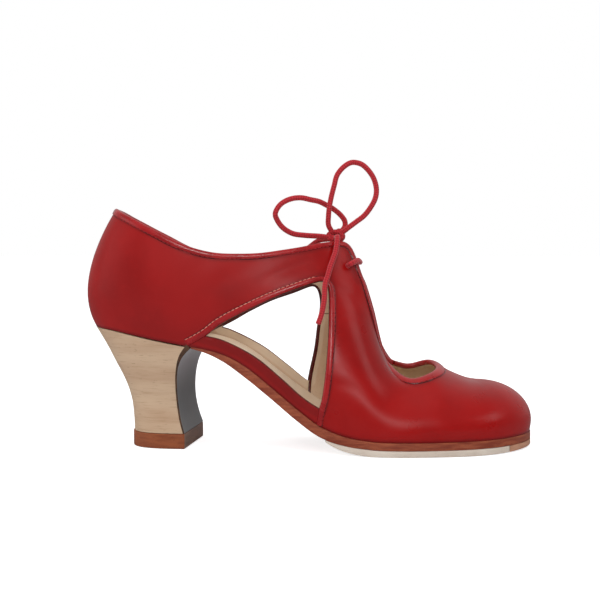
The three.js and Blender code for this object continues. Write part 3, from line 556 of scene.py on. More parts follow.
def leather_field(points):
    """Above zero where there is leather."""
    side = points[:, [0, 2]]
    leaned = np.column_stack([points[:, 0], points[:, 2] + COLLAR_LEAN * points[:, 1]])
    field = polygon_distance(leaned, collar_polygon)
    outer = polygon_distance(side, outer_window)
    inner = polygon_distance(side, inner_window)
    field = np.minimum(field, np.where(points[:, 1] < 0, outer, inner))
    throat = throat_distance(points[:, 0], points[:, 1])
    return np.minimum(field, np.where(points[:, 2] > 2 * SOLE_STACK, throat, FAR_AWAY))


# Upper: a fine grid over the last, trimmed along the zero line of the field

COLUMNS_PER_ROW = 12
GRID_COLUMNS = LOOP_LENGTH * COLUMNS_PER_ROW
grid_t = np.linspace(0, 1, 150)
grid_u = np.arange(GRID_COLUMNS) / COLUMNS_PER_ROW
grid_points = last_point(*np.meshgrid(grid_u, grid_t)).reshape(-1, 3)
grid_field = leather_field(grid_points)
last_tree = BVHTree.FromPolygons(grid_points.tolist(), grid_faces(len(grid_t), GRID_COLUMNS))


def trimmed_grid():
    """u, t of the kept vertices, their faces, and the edges along the openings."""
    rows = len(grid_t)
    columns = GRID_COLUMNS
    new_index = {}
    params = []
    faces = []
    rim = []

    def corner(r, c):
        key = (r, c % columns)
        if key not in new_index:
            new_index[key] = len(params)
            params.append((c % columns / COLUMNS_PER_ROW, grid_t[r]))
        return new_index[key]

    def crossing(r0, c0, r1, c1):
        key = tuple(sorted([(r0, c0 % columns), (r1, c1 % columns)]))
        if key not in new_index:
            f0 = grid_field[r0 * columns + c0 % columns]
            f1 = grid_field[r1 * columns + c1 % columns]
            share = f0 / (f0 - f1)
            new_index[key] = len(params)
            params.append(((c0 + (c1 - c0) * share) / COLUMNS_PER_ROW,
                           grid_t[r0] + (grid_t[r1] - grid_t[r0]) * share))
        return new_index[key]

    kept = grid_field.reshape(rows, columns) > 0
    for r in range(rows - 1):
        row_kept = kept[r]
        next_kept = kept[r + 1]
        for c in range(columns):
            d = (c + 1) % columns
            flags = (row_kept[c], row_kept[d], next_kept[d], next_kept[c])
            if not any(flags):
                continue
            corners = ((r, c), (r, c + 1), (r + 1, c + 1), (r + 1, c))
            if all(flags):
                faces.append([corner(*p) for p in corners])
                continue
            ring = []
            cuts = []
            for k in range(4):
                here, there = corners[k], corners[(k + 1) % 4]
                if flags[k]:
                    ring.append(corner(*here))
                if flags[k] != flags[(k + 1) % 4]:
                    cut = crossing(*here, *there)
                    ring.append(cut)
                    cuts.append(cut)
            faces.append(ring)
            if len(cuts) == 2:
                rim.append(tuple(cuts))
    return np.array(params), faces, rim


params, upper_faces, rim_edges = trimmed_grid()


def chained(edges):
    """The rim's edges as closed or open lines of vertices, longest first."""
    neighbours = {}
    for a, b in edges:
        neighbours.setdefault(a, []).append(b)
        neighbours.setdefault(b, []).append(a)
    unused = set(neighbours)
    lines = []
    while unused:
        ends = [v for v in unused if len(neighbours[v]) == 1]
        start = min(ends) if ends else min(unused)
        line = [start]
        unused.discard(start)
        while True:
            onwards = [v for v in neighbours[line[-1]] if v in unused]
            if not onwards:
                break
            line.append(onwards[0])
            unused.discard(onwards[0])
        lines.append(line)
    return sorted(lines, key=len, reverse=True)


rim_lines = chained(rim_edges)


# Leather: sheets on both sides of the wall

CREASES = [
    # along, up, side, half length in mm, tilt in degrees, half width in mm, depth in mm
    (0.500, 1.330, -1, 16, 12, 3.2, 0.22),
    (0.455, 1.130, -1, 14, 18, 2.6, 0.20),
    (0.330, 0.720, -1, 18, 30, 4.5, 0.18),
    (0.230, 0.560, -1, 15, 60, 5.0, 0.15),
    (0.585, 1.210, -1, 8, -20, 2.4, 0.25),
    (0.588, 1.020, -1, 7, 10, 2.2, 0.22),
    (0.590, 0.430, -1, 12, -15, 3.0, 0.12),
    (0.480, 1.230, 1, 15, 14, 3.0, 0.22),
    (0.600, 0.700, 1, 13, -40, 3.4, 0.25),
    (0.660, 0.380, 1, 15, -15, 3.8, 0.20),
]
EYELET_DIMPLE = 0.55
BAND_EDGE_DEEP = 0.8             # how far the bands' raw edge lies under the leather's face
BAND_EDGE_RADIUS = 0.5


def crease_depth(points):
    """How far the leather sinks at each point, from the listed short creases and eyelets."""
    depth = np.zeros(len(points))
    for along, up, side, half_length, tilt, half_width, deep in CREASES:
        x, z = side_point(along, up)
        turn = math.radians(tilt)
        dx = points[:, 0] - x
        dz = points[:, 2] - z
        lengthwise = (dx * math.cos(turn) + dz * math.sin(turn)) / half_length
        across = (dz * math.cos(turn) - dx * math.sin(turn)) / half_width
        across = across + 0.5 * lengthwise ** 2
        fold = np.exp(-across ** 2) - 0.45 * np.exp(-(across - 1.7) ** 2)
        depth += np.where(points[:, 1] * side > 0, deep * fold * np.exp(-lengthwise ** 4), 0)
    for along, up, side in (LATERAL_EYELET, MEDIAL_EYELET):
        x, z = side_point(along, up)
        away = np.hypot(points[:, 0] - x, points[:, 2] - z) / EYELET
        depth += np.where(points[:, 1] * side > 0, EYELET_DIMPLE * np.exp(-away ** 2 * 2), 0)
    return depth


# The sides of the vamp are drawn taut: each row is where that starts and the run up to its full
# effect, in mm
TAUT_FROM_EDGE = (2.5, 5)
TAUT_OVER_SOLE = (3, 6)
TAUT_BACK = (128, 12)
TAUT_FRONT = (-185, 18)
TAUT_PASSES = 300


def drawn_taut(points, height, opening):
    """The wall with the sides of the vamp drawn taut, away from the sole and the openings."""
    pairs = np.array(sorted({(min(a, b), max(a, b)) for face in upper_faces
                             for a, b in zip(face, face[1:] + face[:1])}))
    first, second = pairs.T
    count = len(points)
    neighbours = np.bincount(first, minlength=count) + np.bincount(second, minlength=count)
    share = (ramp(opening, *TAUT_FROM_EDGE) * ramp(height, *TAUT_OVER_SOLE)
             * ramp(points[:, 0], *TAUT_BACK) * ramp(-points[:, 0], *TAUT_FRONT))[:, None]
    points = points.copy()
    for _ in range(TAUT_PASSES):
        total = np.stack([np.bincount(first, points[second, k], count)
                          + np.bincount(second, points[first, k], count) for k in range(3)], 1)
        points += 0.5 * share * (total / neighbours[:, None] - points)
    return points


CREST_SHY = 0.985                # normals are read no higher up than this, clear of the crest
wall_points = last_point(params[:, 0], params[:, 1])
wall_normals = last_normal(params[:, 0], np.minimum(params[:, 1], CREST_SHY))
wall_depth = crease_depth(wall_points)
wall_height = wall_points[:, 2] - feather_height(wall_points[:, 0])
wall_opening = leather_field(wall_points)
wall_points = drawn_taut(wall_points, wall_height, wall_opening)
wall_inside = wall_points - wall_normals * WALL


NEAR = 0.00002                   # metres: points nearer than this become one


def merge_near(obj):
    mesh = bmesh.new()
    mesh.from_mesh(obj.data)
    bmesh.ops.remove_doubles(mesh, verts=mesh.verts, dist=NEAR)
    mesh.to_mesh(obj.data)
    mesh.free()
    obj.data.shade_smooth()


def upper_sheet(name, vertices, faces, index):
    """One face of the wall; index tells which of the wall's points each vertex belongs to."""
    obj = new_object(name, vertices, faces)
    add_attribute(obj, "above_sole", wall_height[index])
    add_attribute(obj, "from_edge", wall_opening[index])
    merge_near(obj)
    return obj


def leather_sheet():
    """Outer face of the leather with its cut edge turned in at every opening."""
    outer = wall_points - wall_normals * wall_depth[:, None]
    count = len(outer)
    faces = list(upper_faces)
    middle = {}
    extra = []
    for a, b in rim_edges:
        for v in (a, b):
            if v not in middle:
                middle[v] = count + len(extra)
                extra.append(v)
        faces.append((b, a, middle[a], middle[b]))
    return upper_sheet("upper_leather", np.vstack([outer, wall_inside[extra]]), faces,
                       np.concatenate([np.arange(count), extra]).astype(int))


def lining_sheet():
    return upper_sheet("upper_lining", wall_inside, [face[::-1] for face in upper_faces],
                       np.arange(len(wall_points)))


# Binding: a rolled strip swept along each edge

def surface_at(points):
    """Nearest points of the last and its outward normals there."""
    places = []
    normals = []
    for point in points:
        place, normal, _, _ = last_tree.find_nearest(Vector(point))
        places.append(place)
        normals.append(normal)
    return np.array(places), np.array(normals)


def on_side(line, side):
    """Points of the last's outer or inner side behind a line drawn in x and z."""
    places = []
    for x, z in line:
        place, _, _, _ = last_tree.ray_cast(Vector((x, side * 3 * BALL_WIDTH, z)),
                                            Vector((0, -side, 0)))
        if place is not None:
            places.append(place)
    return np.array(places)


# Distance into the leather as a share of the binding's width, and height over the leather in
# millimetres: from the seam over the roll to the inside
ROLL = [
    (1.20, -0.10), (1.13, 0.03), (1.05, 0.02), (1.01, 0.05), (0.98, 0.34), (0.90, 0.55),
    (0.74, 0.68), (0.52, 0.74), (0.30, 0.70), (0.10, 0.52), (-0.04, 0.12), (-0.10, -0.45),
    (-0.10, -1.15), (-0.03, -1.85), (0.13, -2.20), (0.31, -2.25), (0.47, -2.15), (0.52, -1.85),
]
ROLL_OVER = 10                   # this many of them lie on the outer face
ROLL_SEAM = 4                    # the stitches follow this one
PROBE = 1.5                      # how far the leather is looked for beside an edge, in mm
STITCH_START = 0.4
STITCH_PITCH = 2.4
STITCH_LENGTH = 1.9
STITCH_SIDES = 6
STITCH_RINGS = 5
THREAD_RADIUS = 0.17
HIGHLIGHT_THREAD_RADIUS = 0.28      # the light seam over the outer window
# Widths of the topline's binding in mm by places along the shoe: wide round the bowl
TOPLINE_WIDTHS = [(10, 3.4), (45, 3.2), (80, 2.7), (130, 2.6), (142, 3.3), (158, 3.3), (168, 4.7)]


def binding(name, path, closed, widths):
    """The object of one binding; its path lies on the last along the edge of the leather."""
    widths = np.broadcast_to(widths, len(path))[:, None]
    path = smoothed(path, 2, closed)
    places, normals = surface_at(path)
    normals = unit(smoothed(normals, 4, closed))
    inward = unit(np.cross(normals, directions(places, closed)))
    sign = np.sign(leather_field(places + inward * PROBE) - leather_field(places - inward * PROBE))
    majority = 1.0 if sign.sum() >= 0 else -1.0
    inward = inward * majority
    rows = []
    for number, (share, height) in enumerate(ROLL):
        if number < ROLL_OVER:
            base, over = surface_at(places + inward * share * widths)
            over = unit(smoothed(over, 4, closed))
            base = smoothed(base, 4 if share > 0.8 else 2, closed)
            rows.append(base + over * height)
        else:
            rows.append(places + inward * share * widths + normals * height)
    rows = np.array(rows)
    count = len(places)
    faces = grid_faces(len(ROLL), count, closed=closed, flip=majority > 0)
    obj = new_object(name, rows.reshape(-1, 3), faces)
    across = np.repeat([share for share, _ in ROLL[:ROLL_OVER]]
                       + [-1.0] * (len(ROLL) - ROLL_OVER), count)
    add_attribute(obj, "across", across)
    add_attribute(obj, "run", np.tile(running_length(places), len(ROLL)))
    return obj, rows[ROLL_SEAM] + normals * 0.02, normals


def stitches(name, line, normals, radius):
    """Short thread stitches along a line."""
    run = running_length(line)
    vertices = []
    faces = []
    for k in range(int(run[-1] / STITCH_PITCH)):
        first = len(vertices)
        for share in np.linspace(0, 1, STITCH_RINGS):
            place = STITCH_START + k * STITCH_PITCH + share * STITCH_LENGTH
            point = read_line(place, run, line)
            normal = unit(read_line(place, run, normals))
            tangent = unit(read_line(place + 0.2, run, line) - point)
            side = unit(np.cross(tangent, normal))
            swell = math.sin(math.pi * (0.12 + 0.76 * share))
            for s in range(STITCH_SIDES):
                angle = 2 * math.pi * s / STITCH_SIDES
                vertices.append(point + radius * swell * (side * math.cos(angle)
                                                          + normal * (math.sin(angle) + 0.2)))
        faces += grid_faces(STITCH_RINGS, STITCH_SIDES, first=first)
        faces.append(tuple(range(first, first + STITCH_SIDES)))
        end = first + (STITCH_RINGS - 1) * STITCH_SIDES
        faces.append(tuple(range(end + STITCH_SIDES - 1, end - 1, -1)))
    return new_object(name, np.array(vertices), faces)


def topline_path():
    points = wall_points[rim_lines[0]]
    points = even_points(np.vstack([points, points[:1]]), 1.0)[:-1]
    return smoothed(points, 6, True)


def window_path(rows, side):
    return even_points(on_side(side_line(rows, 200), side), 1.0)


def window_widths(path):
    """Width of the binding: a little narrower on the strap than behind it and down the vamp."""
    corner = int(np.argmax(path[:, 2]))
    return np.interp(np.arange(len(path)), [0, corner * 0.5, corner, corner + 25, len(path)],
                     [3.4, 3.2, 2.6, 3.0, 3.2])


# Soles

def feather_outline(offset, steps_per_row=8):
    """Plan of the feather line moved outwards, anticlockwise from the heel."""
    u = np.arange(LOOP_LENGTH * steps_per_row) / steps_per_row
    points = last_point(u, np.zeros_like(u))[:, :2]
    along = directions(points, True)
    return points + np.stack([along[:, 1], -along[:, 0]], 1) * offset


def outsole_drop(x):
    return OUTSOLE * outsole_curve(np.asarray(x) / LENGTH)


def tread_height(x):
    along = np.asarray(x) / LENGTH
    room = feather_height(x) - outsole_drop(x) - SEAM_GAP
    behind = np.maximum(TREAD_FLAT_FROM - along, 0) / (TREAD_FLAT_FROM - HALF_SOLE_BACK)
    before = np.maximum(along - TREAD_FLAT_TO, 0) / (1 - TREAD_FLAT_TO)
    return room * (TREAD_BACK_RISE * behind ** 1.5 + TREAD_TOE_RISE * before ** 2)


# Rounded edge of a plate from its face to its side: inwards and down, in shares of the bevel
SOFT_EDGE = [(1.0, 0.0), (0.55, 0.12), (0.2, 0.42), (0.0, 1.0)]
TREAD_SEAM = 0.2                 # between the half sole and the toe piece, in mm
SEAT_SINK = 0.12                 # how far the face of a lower plate lies under the one above it


def plate(name, ring_at, top_at, bottom_at, bevel, faces_across=5):
    """A sole layer: ring_at(inset) gives its plan, top_at(x, y) and bottom_at(x, y) its faces."""
    rings = []

    def add_ring(height_at, inset, down, share=1.0):
        x, y = ring_at(bevel * inset).T
        middle = (y.max() + y.min()) / 2
        across = middle + (y - middle) * share
        rings.append(np.column_stack([x, across, height_at(x, across) - down * bevel]))

    shares = np.arange(faces_across) / faces_across
    for share in shares:
        add_ring(top_at, 1, 0, share)
    for inset, down in SOFT_EDGE:
        add_ring(top_at, inset, down)
    for inset, down in SOFT_EDGE[::-1]:
        add_ring(bottom_at, inset, -down)
    for share in shares[::-1]:
        add_ring(bottom_at, 1, 0, share)
    return new_object(name, np.concatenate(rings), grid_faces(len(rings), len(rings[0]), flip=True))


def cut_across(outline, rear, front):
    """The plan between two cuts, with the points beyond them drawn in onto the cuts."""
    half = len(outline) // 2
    lateral = outline[:half]
    medial = outline[half:][::-1]
    at = float(np.mean(rear))
    reach = (np.interp(at, lateral[:, 0], lateral[:, 1]), np.interp(at, medial[:, 0], medial[:, 1]))
    y = np.where(outline[:, 0] < rear, np.clip(outline[:, 1], *reach), outline[:, 1])
    return np.column_stack([np.clip(outline[:, 0], rear, front), y])


def insole_plate():
    """The sock, a little thicker under the inner arch."""
    def top(x, y):
        along = np.interp(x, *zip(*ARCH_ALONG))
        return feather_height(x) + INSOLE + ARCH_PAD * along * ramp(y, *ARCH_ACROSS)

    return plate("insole_sock", lambda inset: feather_outline(-(WALL + SEAM_GAP) - inset), top,
                 lambda x, y: feather_height(x), SOCK_BEVEL, faces_across=12)


def outsole_plate():
    def ring(inset):
        outline = feather_outline(SOLE_EDGE - inset)
        breast = BREAST_SEAT * LENGTH + LIFT_TURN * outline[:, 1]
        return cut_across(outline, breast + SEAM_GAP + inset, 2 * LENGTH)

    return plate("outsole_leather", ring, lambda x, y: feather_height(x) - SEAT_SINK,
                 lambda x, y: feather_height(x) - outsole_drop(x), OUTSOLE_BEVEL)


def tread_plate(name, rear, front):
    def ring(inset):
        return cut_across(feather_outline(SOLE_EDGE - inset), rear + inset, front - inset)

    return plate(name, ring, lambda x, y: feather_height(x) - outsole_drop(x) - SEAT_SINK,
                 lambda x, y: tread_height(x), TREAD_BEVEL)


# Heel

HEEL_SIDE_STEPS = 120
HEEL_BREAST_STEPS = 24
HEEL_RINGS = 60
COVER_GAP = 0.05                 # between the wood and the breast cover, in mm
HEEL_CORNER = 40                 # edges sharper than this many degrees stay sharp


def heel_pairs():
    """Each point of the seat's outline with the one of the foot that it runs down to."""
    seat = feather_outline(0.0, 2)
    count = len(seat)
    front = BREAST_SEAT * LENGTH
    lateral = seat[:count // 2][seat[:count // 2, 0] < front]
    medial = seat[count // 2:][seat[count // 2:, 0] < front]

    def on_front(inside, outside):
        return inside + (outside - inside) * (front - inside[0]) / (outside[0] - inside[0])

    line = np.vstack([on_front(lateral[-1], seat[len(lateral)]), lateral[::-1], medial[::-1],
                      on_front(medial[0], seat[count - len(medial) - 1])])
    line = even_points(rounded_route(line, 2000), 0.01)
    run = running_length(line)
    seat_line = read_line(np.linspace(0, run[-1], HEEL_SIDE_STEPS + 1), run, line)
    angle = math.pi * np.arange(HEEL_SIDE_STEPS + 1) / HEEL_SIDE_STEPS
    power = 2 / HEEL_FOOT_FULLNESS
    foot_forward = 1 - np.maximum(np.sin(angle), 0) ** power
    foot_across = -np.sign(np.cos(angle)) * np.abs(np.cos(angle)) ** power
    return seat_line[:, 0] / front, seat_line[:, 1] / BALL_WIDTH, foot_forward, foot_across


pair_seat_forward, pair_seat_across, pair_foot_forward, pair_foot_across = heel_pairs()


def with_front(side):
    """A ring of the heel: its curved part with the straight front that closes it."""
    shares = np.arange(1, HEEL_BREAST_STEPS)[:, None] / HEEL_BREAST_STEPS
    return np.vstack([side, side[-1] + (side[0] - side[-1]) * shares])


def heel_ring(drop):
    rear = heel_curve(drop, 0) * LENGTH
    breast = heel_curve(drop, 1) * LENGTH
    half = heel_curve(drop, 2) * BALL_WIDTH
    seat_half = heel_curve(0.0, 2)
    blend = drop * drop * (3 - 2 * drop)
    forward = pair_seat_forward + (pair_foot_forward - pair_seat_forward) * blend
    across = pair_seat_across / seat_half * (1 - blend) + pair_foot_across * blend
    y = across * half
    x = rear + (breast - rear) * forward + LIFT_TURN * y * forward
    top = feather_height(pair_seat_forward * BREAST_SEAT * LENGTH) - SEAM_GAP
    z = top + (LIFT_HEIGHT + SEAM_GAP - top) * drop
    ring = with_front(np.column_stack([x, y, z]))
    ring[:, 2] = np.minimum(ring[:, 2], feather_height(ring[:, 0]) - SEAM_GAP)
    return ring


def heel_rings(kept, behind):
    """Rings of the heel, kept on one side of a face that lies behind the breast."""
    rings = []
    for drop in np.linspace(0, 1, HEEL_RINGS + 1):
        ring = heel_ring(drop)
        limit = heel_curve(drop, 1) * LENGTH + LIFT_TURN * ring[:, 1] - behind
        ring[:, 0] = kept(ring[:, 0], limit)
        rings.append(ring)
    return rings


def heel_piece(name, rings):
    """A closed object through rings of equal length, top ring first."""
    vertices = np.concatenate(rings + [rings[0].mean(0)[None], rings[-1].mean(0)[None]])
    size = (len(rings), len(rings[0]))
    obj = new_object(name, vertices, grid_faces(*size) + end_fans(*size))
    obj.data.set_sharp_from_angle(angle=math.radians(HEEL_CORNER))
    return obj


def heel_wood():
    return heel_piece("heel_wood", heel_rings(np.minimum, BREAST_COVER + COVER_GAP))


def breast_sheet():
    """The grey sheet; its second material is on every face but the front one."""
    rings = heel_rings(np.maximum, BREAST_COVER)
    obj = heel_piece("breast_sheet", rings)
    count = len(rings[0])
    front = set(range(HEEL_SIDE_STEPS + 1, count)) | {0, HEEL_SIDE_STEPS}
    for polygon in obj.data.polygons:
        in_front = all(v % count in front for v in polygon.vertices)
        on_face = in_front and max(polygon.vertices) < len(rings) * count
        polygon.material_index = 0 if on_face else 1
    return obj


def heel_top_piece():
    centre = LIFT_FRONT * LENGTH - LIFT_DEPTH

    def ring(inset, z):
        y = pair_foot_across * (LIFT_WIDTH / 2 - inset)
        x = (centre + inset + (LIFT_DEPTH - 2 * inset) * pair_foot_forward
             + LIFT_TURN * y * pair_foot_forward)
        return with_front(np.column_stack([x, y, np.full_like(x, z)]))

    rings = [ring(inset, LIFT_HEIGHT - down) for inset, down in LIFT_TOP_EDGE]
    rings += [ring(0, z) for z in np.linspace(LIFT_HEIGHT - 1, 1.2, 8)]
    rings += [ring(inset, up) for inset, up in LIFT_FOOT_EDGE]
    return heel_piece("heel_top_piece", rings)


# Lace

knot_foot = side_point(KNOT_ALONG, KNOT_UP)
knot_centre = np.array([knot_foot[0], KNOT_ASIDE * BALL_WIDTH, knot_foot[1]])


def from_knot(rows):
    return knot_centre + np.atleast_2d(np.array(rows, float)) * BOW


def on_knot(point):
    away = point - knot_centre
    return knot_centre + away / np.linalg.norm(away) * (KNOT_RADIUS + SEAM_GAP)


def loop_route(rows):
    points = from_knot(rows)
    return np.vstack([on_knot(points[0]), points, on_knot(points[-1])])


def lifted(u, t, distance):
    return last_point(u, t) + last_normal(u, t) * distance


def hanging_route():
    over = from_knot(HANGING_START)[0]
    places = [place_on_side(*side_point(along, up), -1) for along, up in HANGING_ROWS]
    return np.vstack([on_knot(over), over, [lifted(u, t, LACE_REST) for u, t in places]])


def inner_end_route():
    points = from_knot(INNER_END_ROWS)
    return np.vstack([on_knot(points[0]), points])


def crossing_route():
    """From the knot down the inside of one strap, out, over the throat, in and back up."""
    crest = turning_point(0.0, float(TOE_INDEX),
                          lambda u: last_point(u, 1.0)[0] < BAR_CREST * LENGTH)
    halves = []
    for along, up, side in (LATERAL_EYELET, MEDIAL_EYELET):
        u, t = place_on_side(*side_point(along, up), side)
        crest_u = crest if side < 0 else LOOP_LENGTH - crest
        bar = [lifted(u + (crest_u - u) * share, t + (1 - t) * share, LACE_REST * height)
               for share, height in BAR_STEPS]
        hole = last_point(u, t)
        normal = last_normal(u, t)
        behind = hole - normal * (WALL + LACE / 2 + 2 * SEAM_GAP)
        middle = (behind + knot_centre) / 2
        middle[1] *= STRAND_INWARD
        halves.append([on_knot(middle), middle, behind, hole - normal * WALL / 2] + bar)
    return np.array(halves[0] + halves[1][::-1])


def lace_tube(name, route):
    """A braided cord along a route, and the even points that it follows."""
    path = even_points(rounded_route(route, 400), 0.4)
    obj = tube(name, path, LACE / 2 * LACE_FULLNESS, sides=18)
    mesh = obj.data
    count = len(mesh.vertices)
    run = np.empty(count, np.float32)
    turn = np.empty(count, np.float32)
    places = np.empty(count * 3, np.float32)
    mesh.attributes["run"].data.foreach_get("value", run)
    mesh.attributes["turn"].data.foreach_get("value", turn)
    mesh.vertices.foreach_get("co", places)
    places = places.reshape(-1, 3)
    turns = 2 * math.pi * run / BRAID_PITCH
    weave = np.sin(3 * turn + turns) * np.sin(3 * turn - turns)
    centre = read_line(run, running_length(path), to_row(path))
    places = centre + (places - centre) * (1 + BRAID_RELIEF * weave)[:, None]
    mesh.vertices.foreach_set("co", places.astype(np.float32).ravel())
    mesh.update()
    return obj, path


KNOT_TURNS = [
    # tilt about x, tilt about y, radius, flatness, shift forward, shift aside, shift up
    (1.45, 0.15, 3.9, 0.62, 0.3, -0.9, 0.9),
    (1.10, -0.80, 3.3, 0.85, 1.3, 0.2, 1.0),
    (1.80, 0.90, 2.9, 0.90, -0.6, 0.9, 0.7),
    (0.30, 0.40, 2.4, 1.00, 0.2, 0.3, 0.0),
]


def knot_turns():
    """Short turns of lace wrapped over each other."""
    parts = []
    for number, (tilt, swing, radius, flat, forward, aside, up) in enumerate(KNOT_TURNS):
        angles = np.linspace(0, 2 * math.pi, 49)[:-1]
        ring = np.column_stack([np.cos(angles) * radius, np.sin(angles) * radius * flat,
                                0.5 * np.sin(2 * angles)])
        turned = Matrix.Rotation(tilt, 3, "X") @ Matrix.Rotation(swing, 3, "Y")
        ring = ring @ np.array(turned).T + knot_centre + np.array([forward, aside, up])
        parts.append(tube(f"knot_turn_{number}", ring, LACE / 2, sides=16, closed=True))
    return join("lace_knot_turns", parts)


def join(name, parts):
    bpy.ops.object.select_all(action="DESELECT")
    for part in parts:
        part.select_set(True)
    bpy.context.view_layer.objects.active = parts[0]
    bpy.ops.object.join()
    parts[0].name = name
    return parts[0]


# Materials

LINING_JOIN = 69.3               # height of the join in the vamp's lining, in mm
WHITE = (1.0, 1.0, 1.0, 1.0)


def srgb(red, green, blue):
    """Linear colour of a colour given as it shows on screen, 0 to 255."""
    values = [v / 255 for v in (red, green, blue)]
    return tuple(v / 12.92 if v <= 0.04045 else ((v + 0.055) / 1.055) ** 2.4
                 for v in values) + (1.0,)


class Nodes:
    """Adds nodes to a node tree."""

    def __init__(self, tree):
        self.tree = tree

    def node(self, kind, **settings):
        node = self.tree.nodes.new(kind)
        for key, value in settings.items():
            setattr(node, key, value)
        return node

    def link(self, source, target):
        self.tree.links.new(source, target)

    def feed(self, target, value):
        """Sets a socket, or links it where the value is another node's output."""
        if isinstance(value, (int, float)):
            target.default_value = value
        else:
            self.link(value, target)

    def maths(self, operation, first, second=0.0):
        node = self.node("ShaderNodeMath", operation=operation)
        self.feed(node.inputs[0], first)
        self.feed(node.inputs[1], second)
        return node.outputs["Value"]

    def spread(self, value, low, high, to_low=0.0, to_high=1.0):
        """The value's range from low to high stretched softly over another one."""
        node = self.node("ShaderNodeMapRange", interpolation_type="SMOOTHSTEP")
        self.link(value, node.inputs["Value"])
        limits = {"From Min": low, "From Max": high, "To Min": to_low, "To Max": to_high}
        for name, limit in limits.items():
            node.inputs[name].default_value = limit
        return node.outputs["Result"]


class Shader(Nodes):
    """Builds the nodes of one material. Colours are given as they show on screen."""

    def __init__(self, name):
        self.material = bpy.data.materials.new(name)
        self.material.use_nodes = True
        super().__init__(self.material.node_tree)
        self.surface = self.tree.nodes["Principled BSDF"]
        self.coordinates = self.node("ShaderNodeTexCoord").outputs["Object"]

    def set(self, **values):
        """Sets sockets of the surface; a name's words are joined by underscores."""
        for name, value in values.items():
            self.surface.inputs[name.replace("_", " ")].default_value = value

    def scaled(self, x, y, z):
        mapping = self.node("ShaderNodeMapping")
        mapping.inputs["Scale"].default_value = (x, y, z)
        self.link(self.coordinates, mapping.inputs["Vector"])
        return mapping.outputs["Vector"]

    def position(self, axis):
        """The coordinate along X, Y or Z, in metres."""
        node = self.node("ShaderNodeSeparateXYZ")
        self.link(self.coordinates, node.inputs["Vector"])
        return node.outputs[axis]

    def noise(self, scale, detail=3.0, rough=0.5, vector=None, distortion=0.0):
        noise = self.node("ShaderNodeTexNoise")
        settings = {"Scale": scale, "Detail": detail, "Roughness": rough, "Distortion": distortion}
        for name, value in settings.items():
            noise.inputs[name].default_value = value
        self.link(vector or self.coordinates, noise.inputs["Vector"])
        return noise.outputs["Fac"]

    def attribute(self, name):
        return self.node("ShaderNodeAttribute", attribute_name=name).outputs["Fac"]

    def blend(self, share, first, second):
        node = self.node("ShaderNodeMix", data_type="RGBA")
        self.feed(node.inputs["Factor"], share)
        for socket, colour in (("A", first), ("B", second)):
            target = [s for s in node.inputs if s.name == socket and s.type == "RGBA"][0]
            if isinstance(colour, tuple):
                target.default_value = srgb(*colour)
            else:
                self.link(colour, target)
        return [s for s in node.outputs if s.type == "RGBA"][0]

    def tinted(self, colour, field, low, high, share, tint):
        """The colour with a tint over it that sets in where the field rises from low to high."""
        return self.blend(self.spread(field, low, high, 0.0, share), colour, tint)

    def bump(self, height, distance, strength):
        node = self.node("ShaderNodeBump")
        node.inputs["Distance"].default_value = distance
        node.inputs["Strength"].default_value = strength
        self.link(height, node.inputs["Height"])
        return node.outputs["Normal"]

    def finish(self, colour, roughness=None, normal=None):
        for name, source in (("Base Color", colour), ("Roughness", roughness), ("Normal", normal)):
            if source is not None:
                self.link(source, self.surface.inputs[name])
        return self.material


def leather_material():
    shader = Shader("red leather")
    colour = shader.blend(shader.spread(shader.noise(28, 2), 0.35, 0.65), (155, 7, 7), (171, 10, 9))
    mottle = shader.noise(260, 4, 0.6)
    colour = shader.tinted(colour, mottle, 0.45, 0.75, 0.2, (182, 18, 16))
    # Darker near the sole: dirt, and painted shade where the upper meets the sole.
    sole_dirt_and_shade = shader.spread(shader.attribute("above_sole"), 0.0, 2.2, 0.55, 0.0)
    colour = shader.blend(sole_dirt_and_shade, colour, (90, 8, 10))
    # Darker just beside the bindings' seams: painted shade along the raised binding.
    seam = shader.spread(shader.attribute("from_edge"), 3.2, 5.2, 0.4, 0.0)
    colour = shader.blend(seam, colour, (120, 6, 9))
    # The quarter and its straps are duller than the vamp.
    duller = shader.spread(shader.position("X"), 0.0, 0.012, 0.16, 0.0)
    patches = shader.spread(shader.noise(60, 3), 0.3, 0.7, 0.27, 0.36)
    grain = shader.bump(shader.noise(1500, 5, 0.65), 0.00004, 0.3)
    shader.set(Specular_IOR_Level=0.3, Coat_Weight=0.05, Coat_Roughness=0.2)
    return shader.finish(colour, shader.maths("ADD", patches, duller), grain)


def binding_material(name, inside):
    shader = Shader(name)
    across = shader.attribute("across")
    cloud = shader.noise(120, 3)
    colour = shader.blend(shader.spread(cloud, 0.3, 0.7), (158, 12, 18), (180, 20, 26))
    # Dark where the binding lies flat up to its seam: painted shade of the seam's groove.
    colour = shader.blend(shader.spread(across, 0.90, 0.99), colour, (95, 6, 10))
    # The turned-in part of the roll takes the inside colour: the collar paints a highlight there,
    # the windows paint shade.
    colour = shader.blend(shader.spread(across, -0.9, -0.3, 1.0, 0.0), colour, inside)
    grain = shader.bump(shader.noise(1500, 5, 0.65), 0.00005, 0.4)
    shader.set(Coat_Weight=0.15, Coat_Roughness=0.2)
    return shader.finish(colour, shader.spread(cloud, 0.3, 0.7, 0.24, 0.32), grain)


def cut_edge_material(name, scale, width, low, high):
    """The raw cut edge of leather, without relief."""
    shader = Shader(name)
    cloud = shader.noise(scale, 3)
    colour = shader.blend(shader.spread(cloud, 0.5 - width, 0.5 + width), low, high)
    return shader.finish(colour, shader.spread(cloud, 0.3, 0.7, 0.5, 0.7))


def thread_material(name, low, high):
    shader = Shader(name)
    twist = shader.noise(1800, 2)
    colour = shader.blend(shader.spread(twist, 0.35, 0.65), low, high)
    roughness = shader.spread(twist, 0.3, 0.7, 0.5, 0.7)
    return shader.finish(colour, roughness, shader.bump(twist, 0.00003, 0.5))


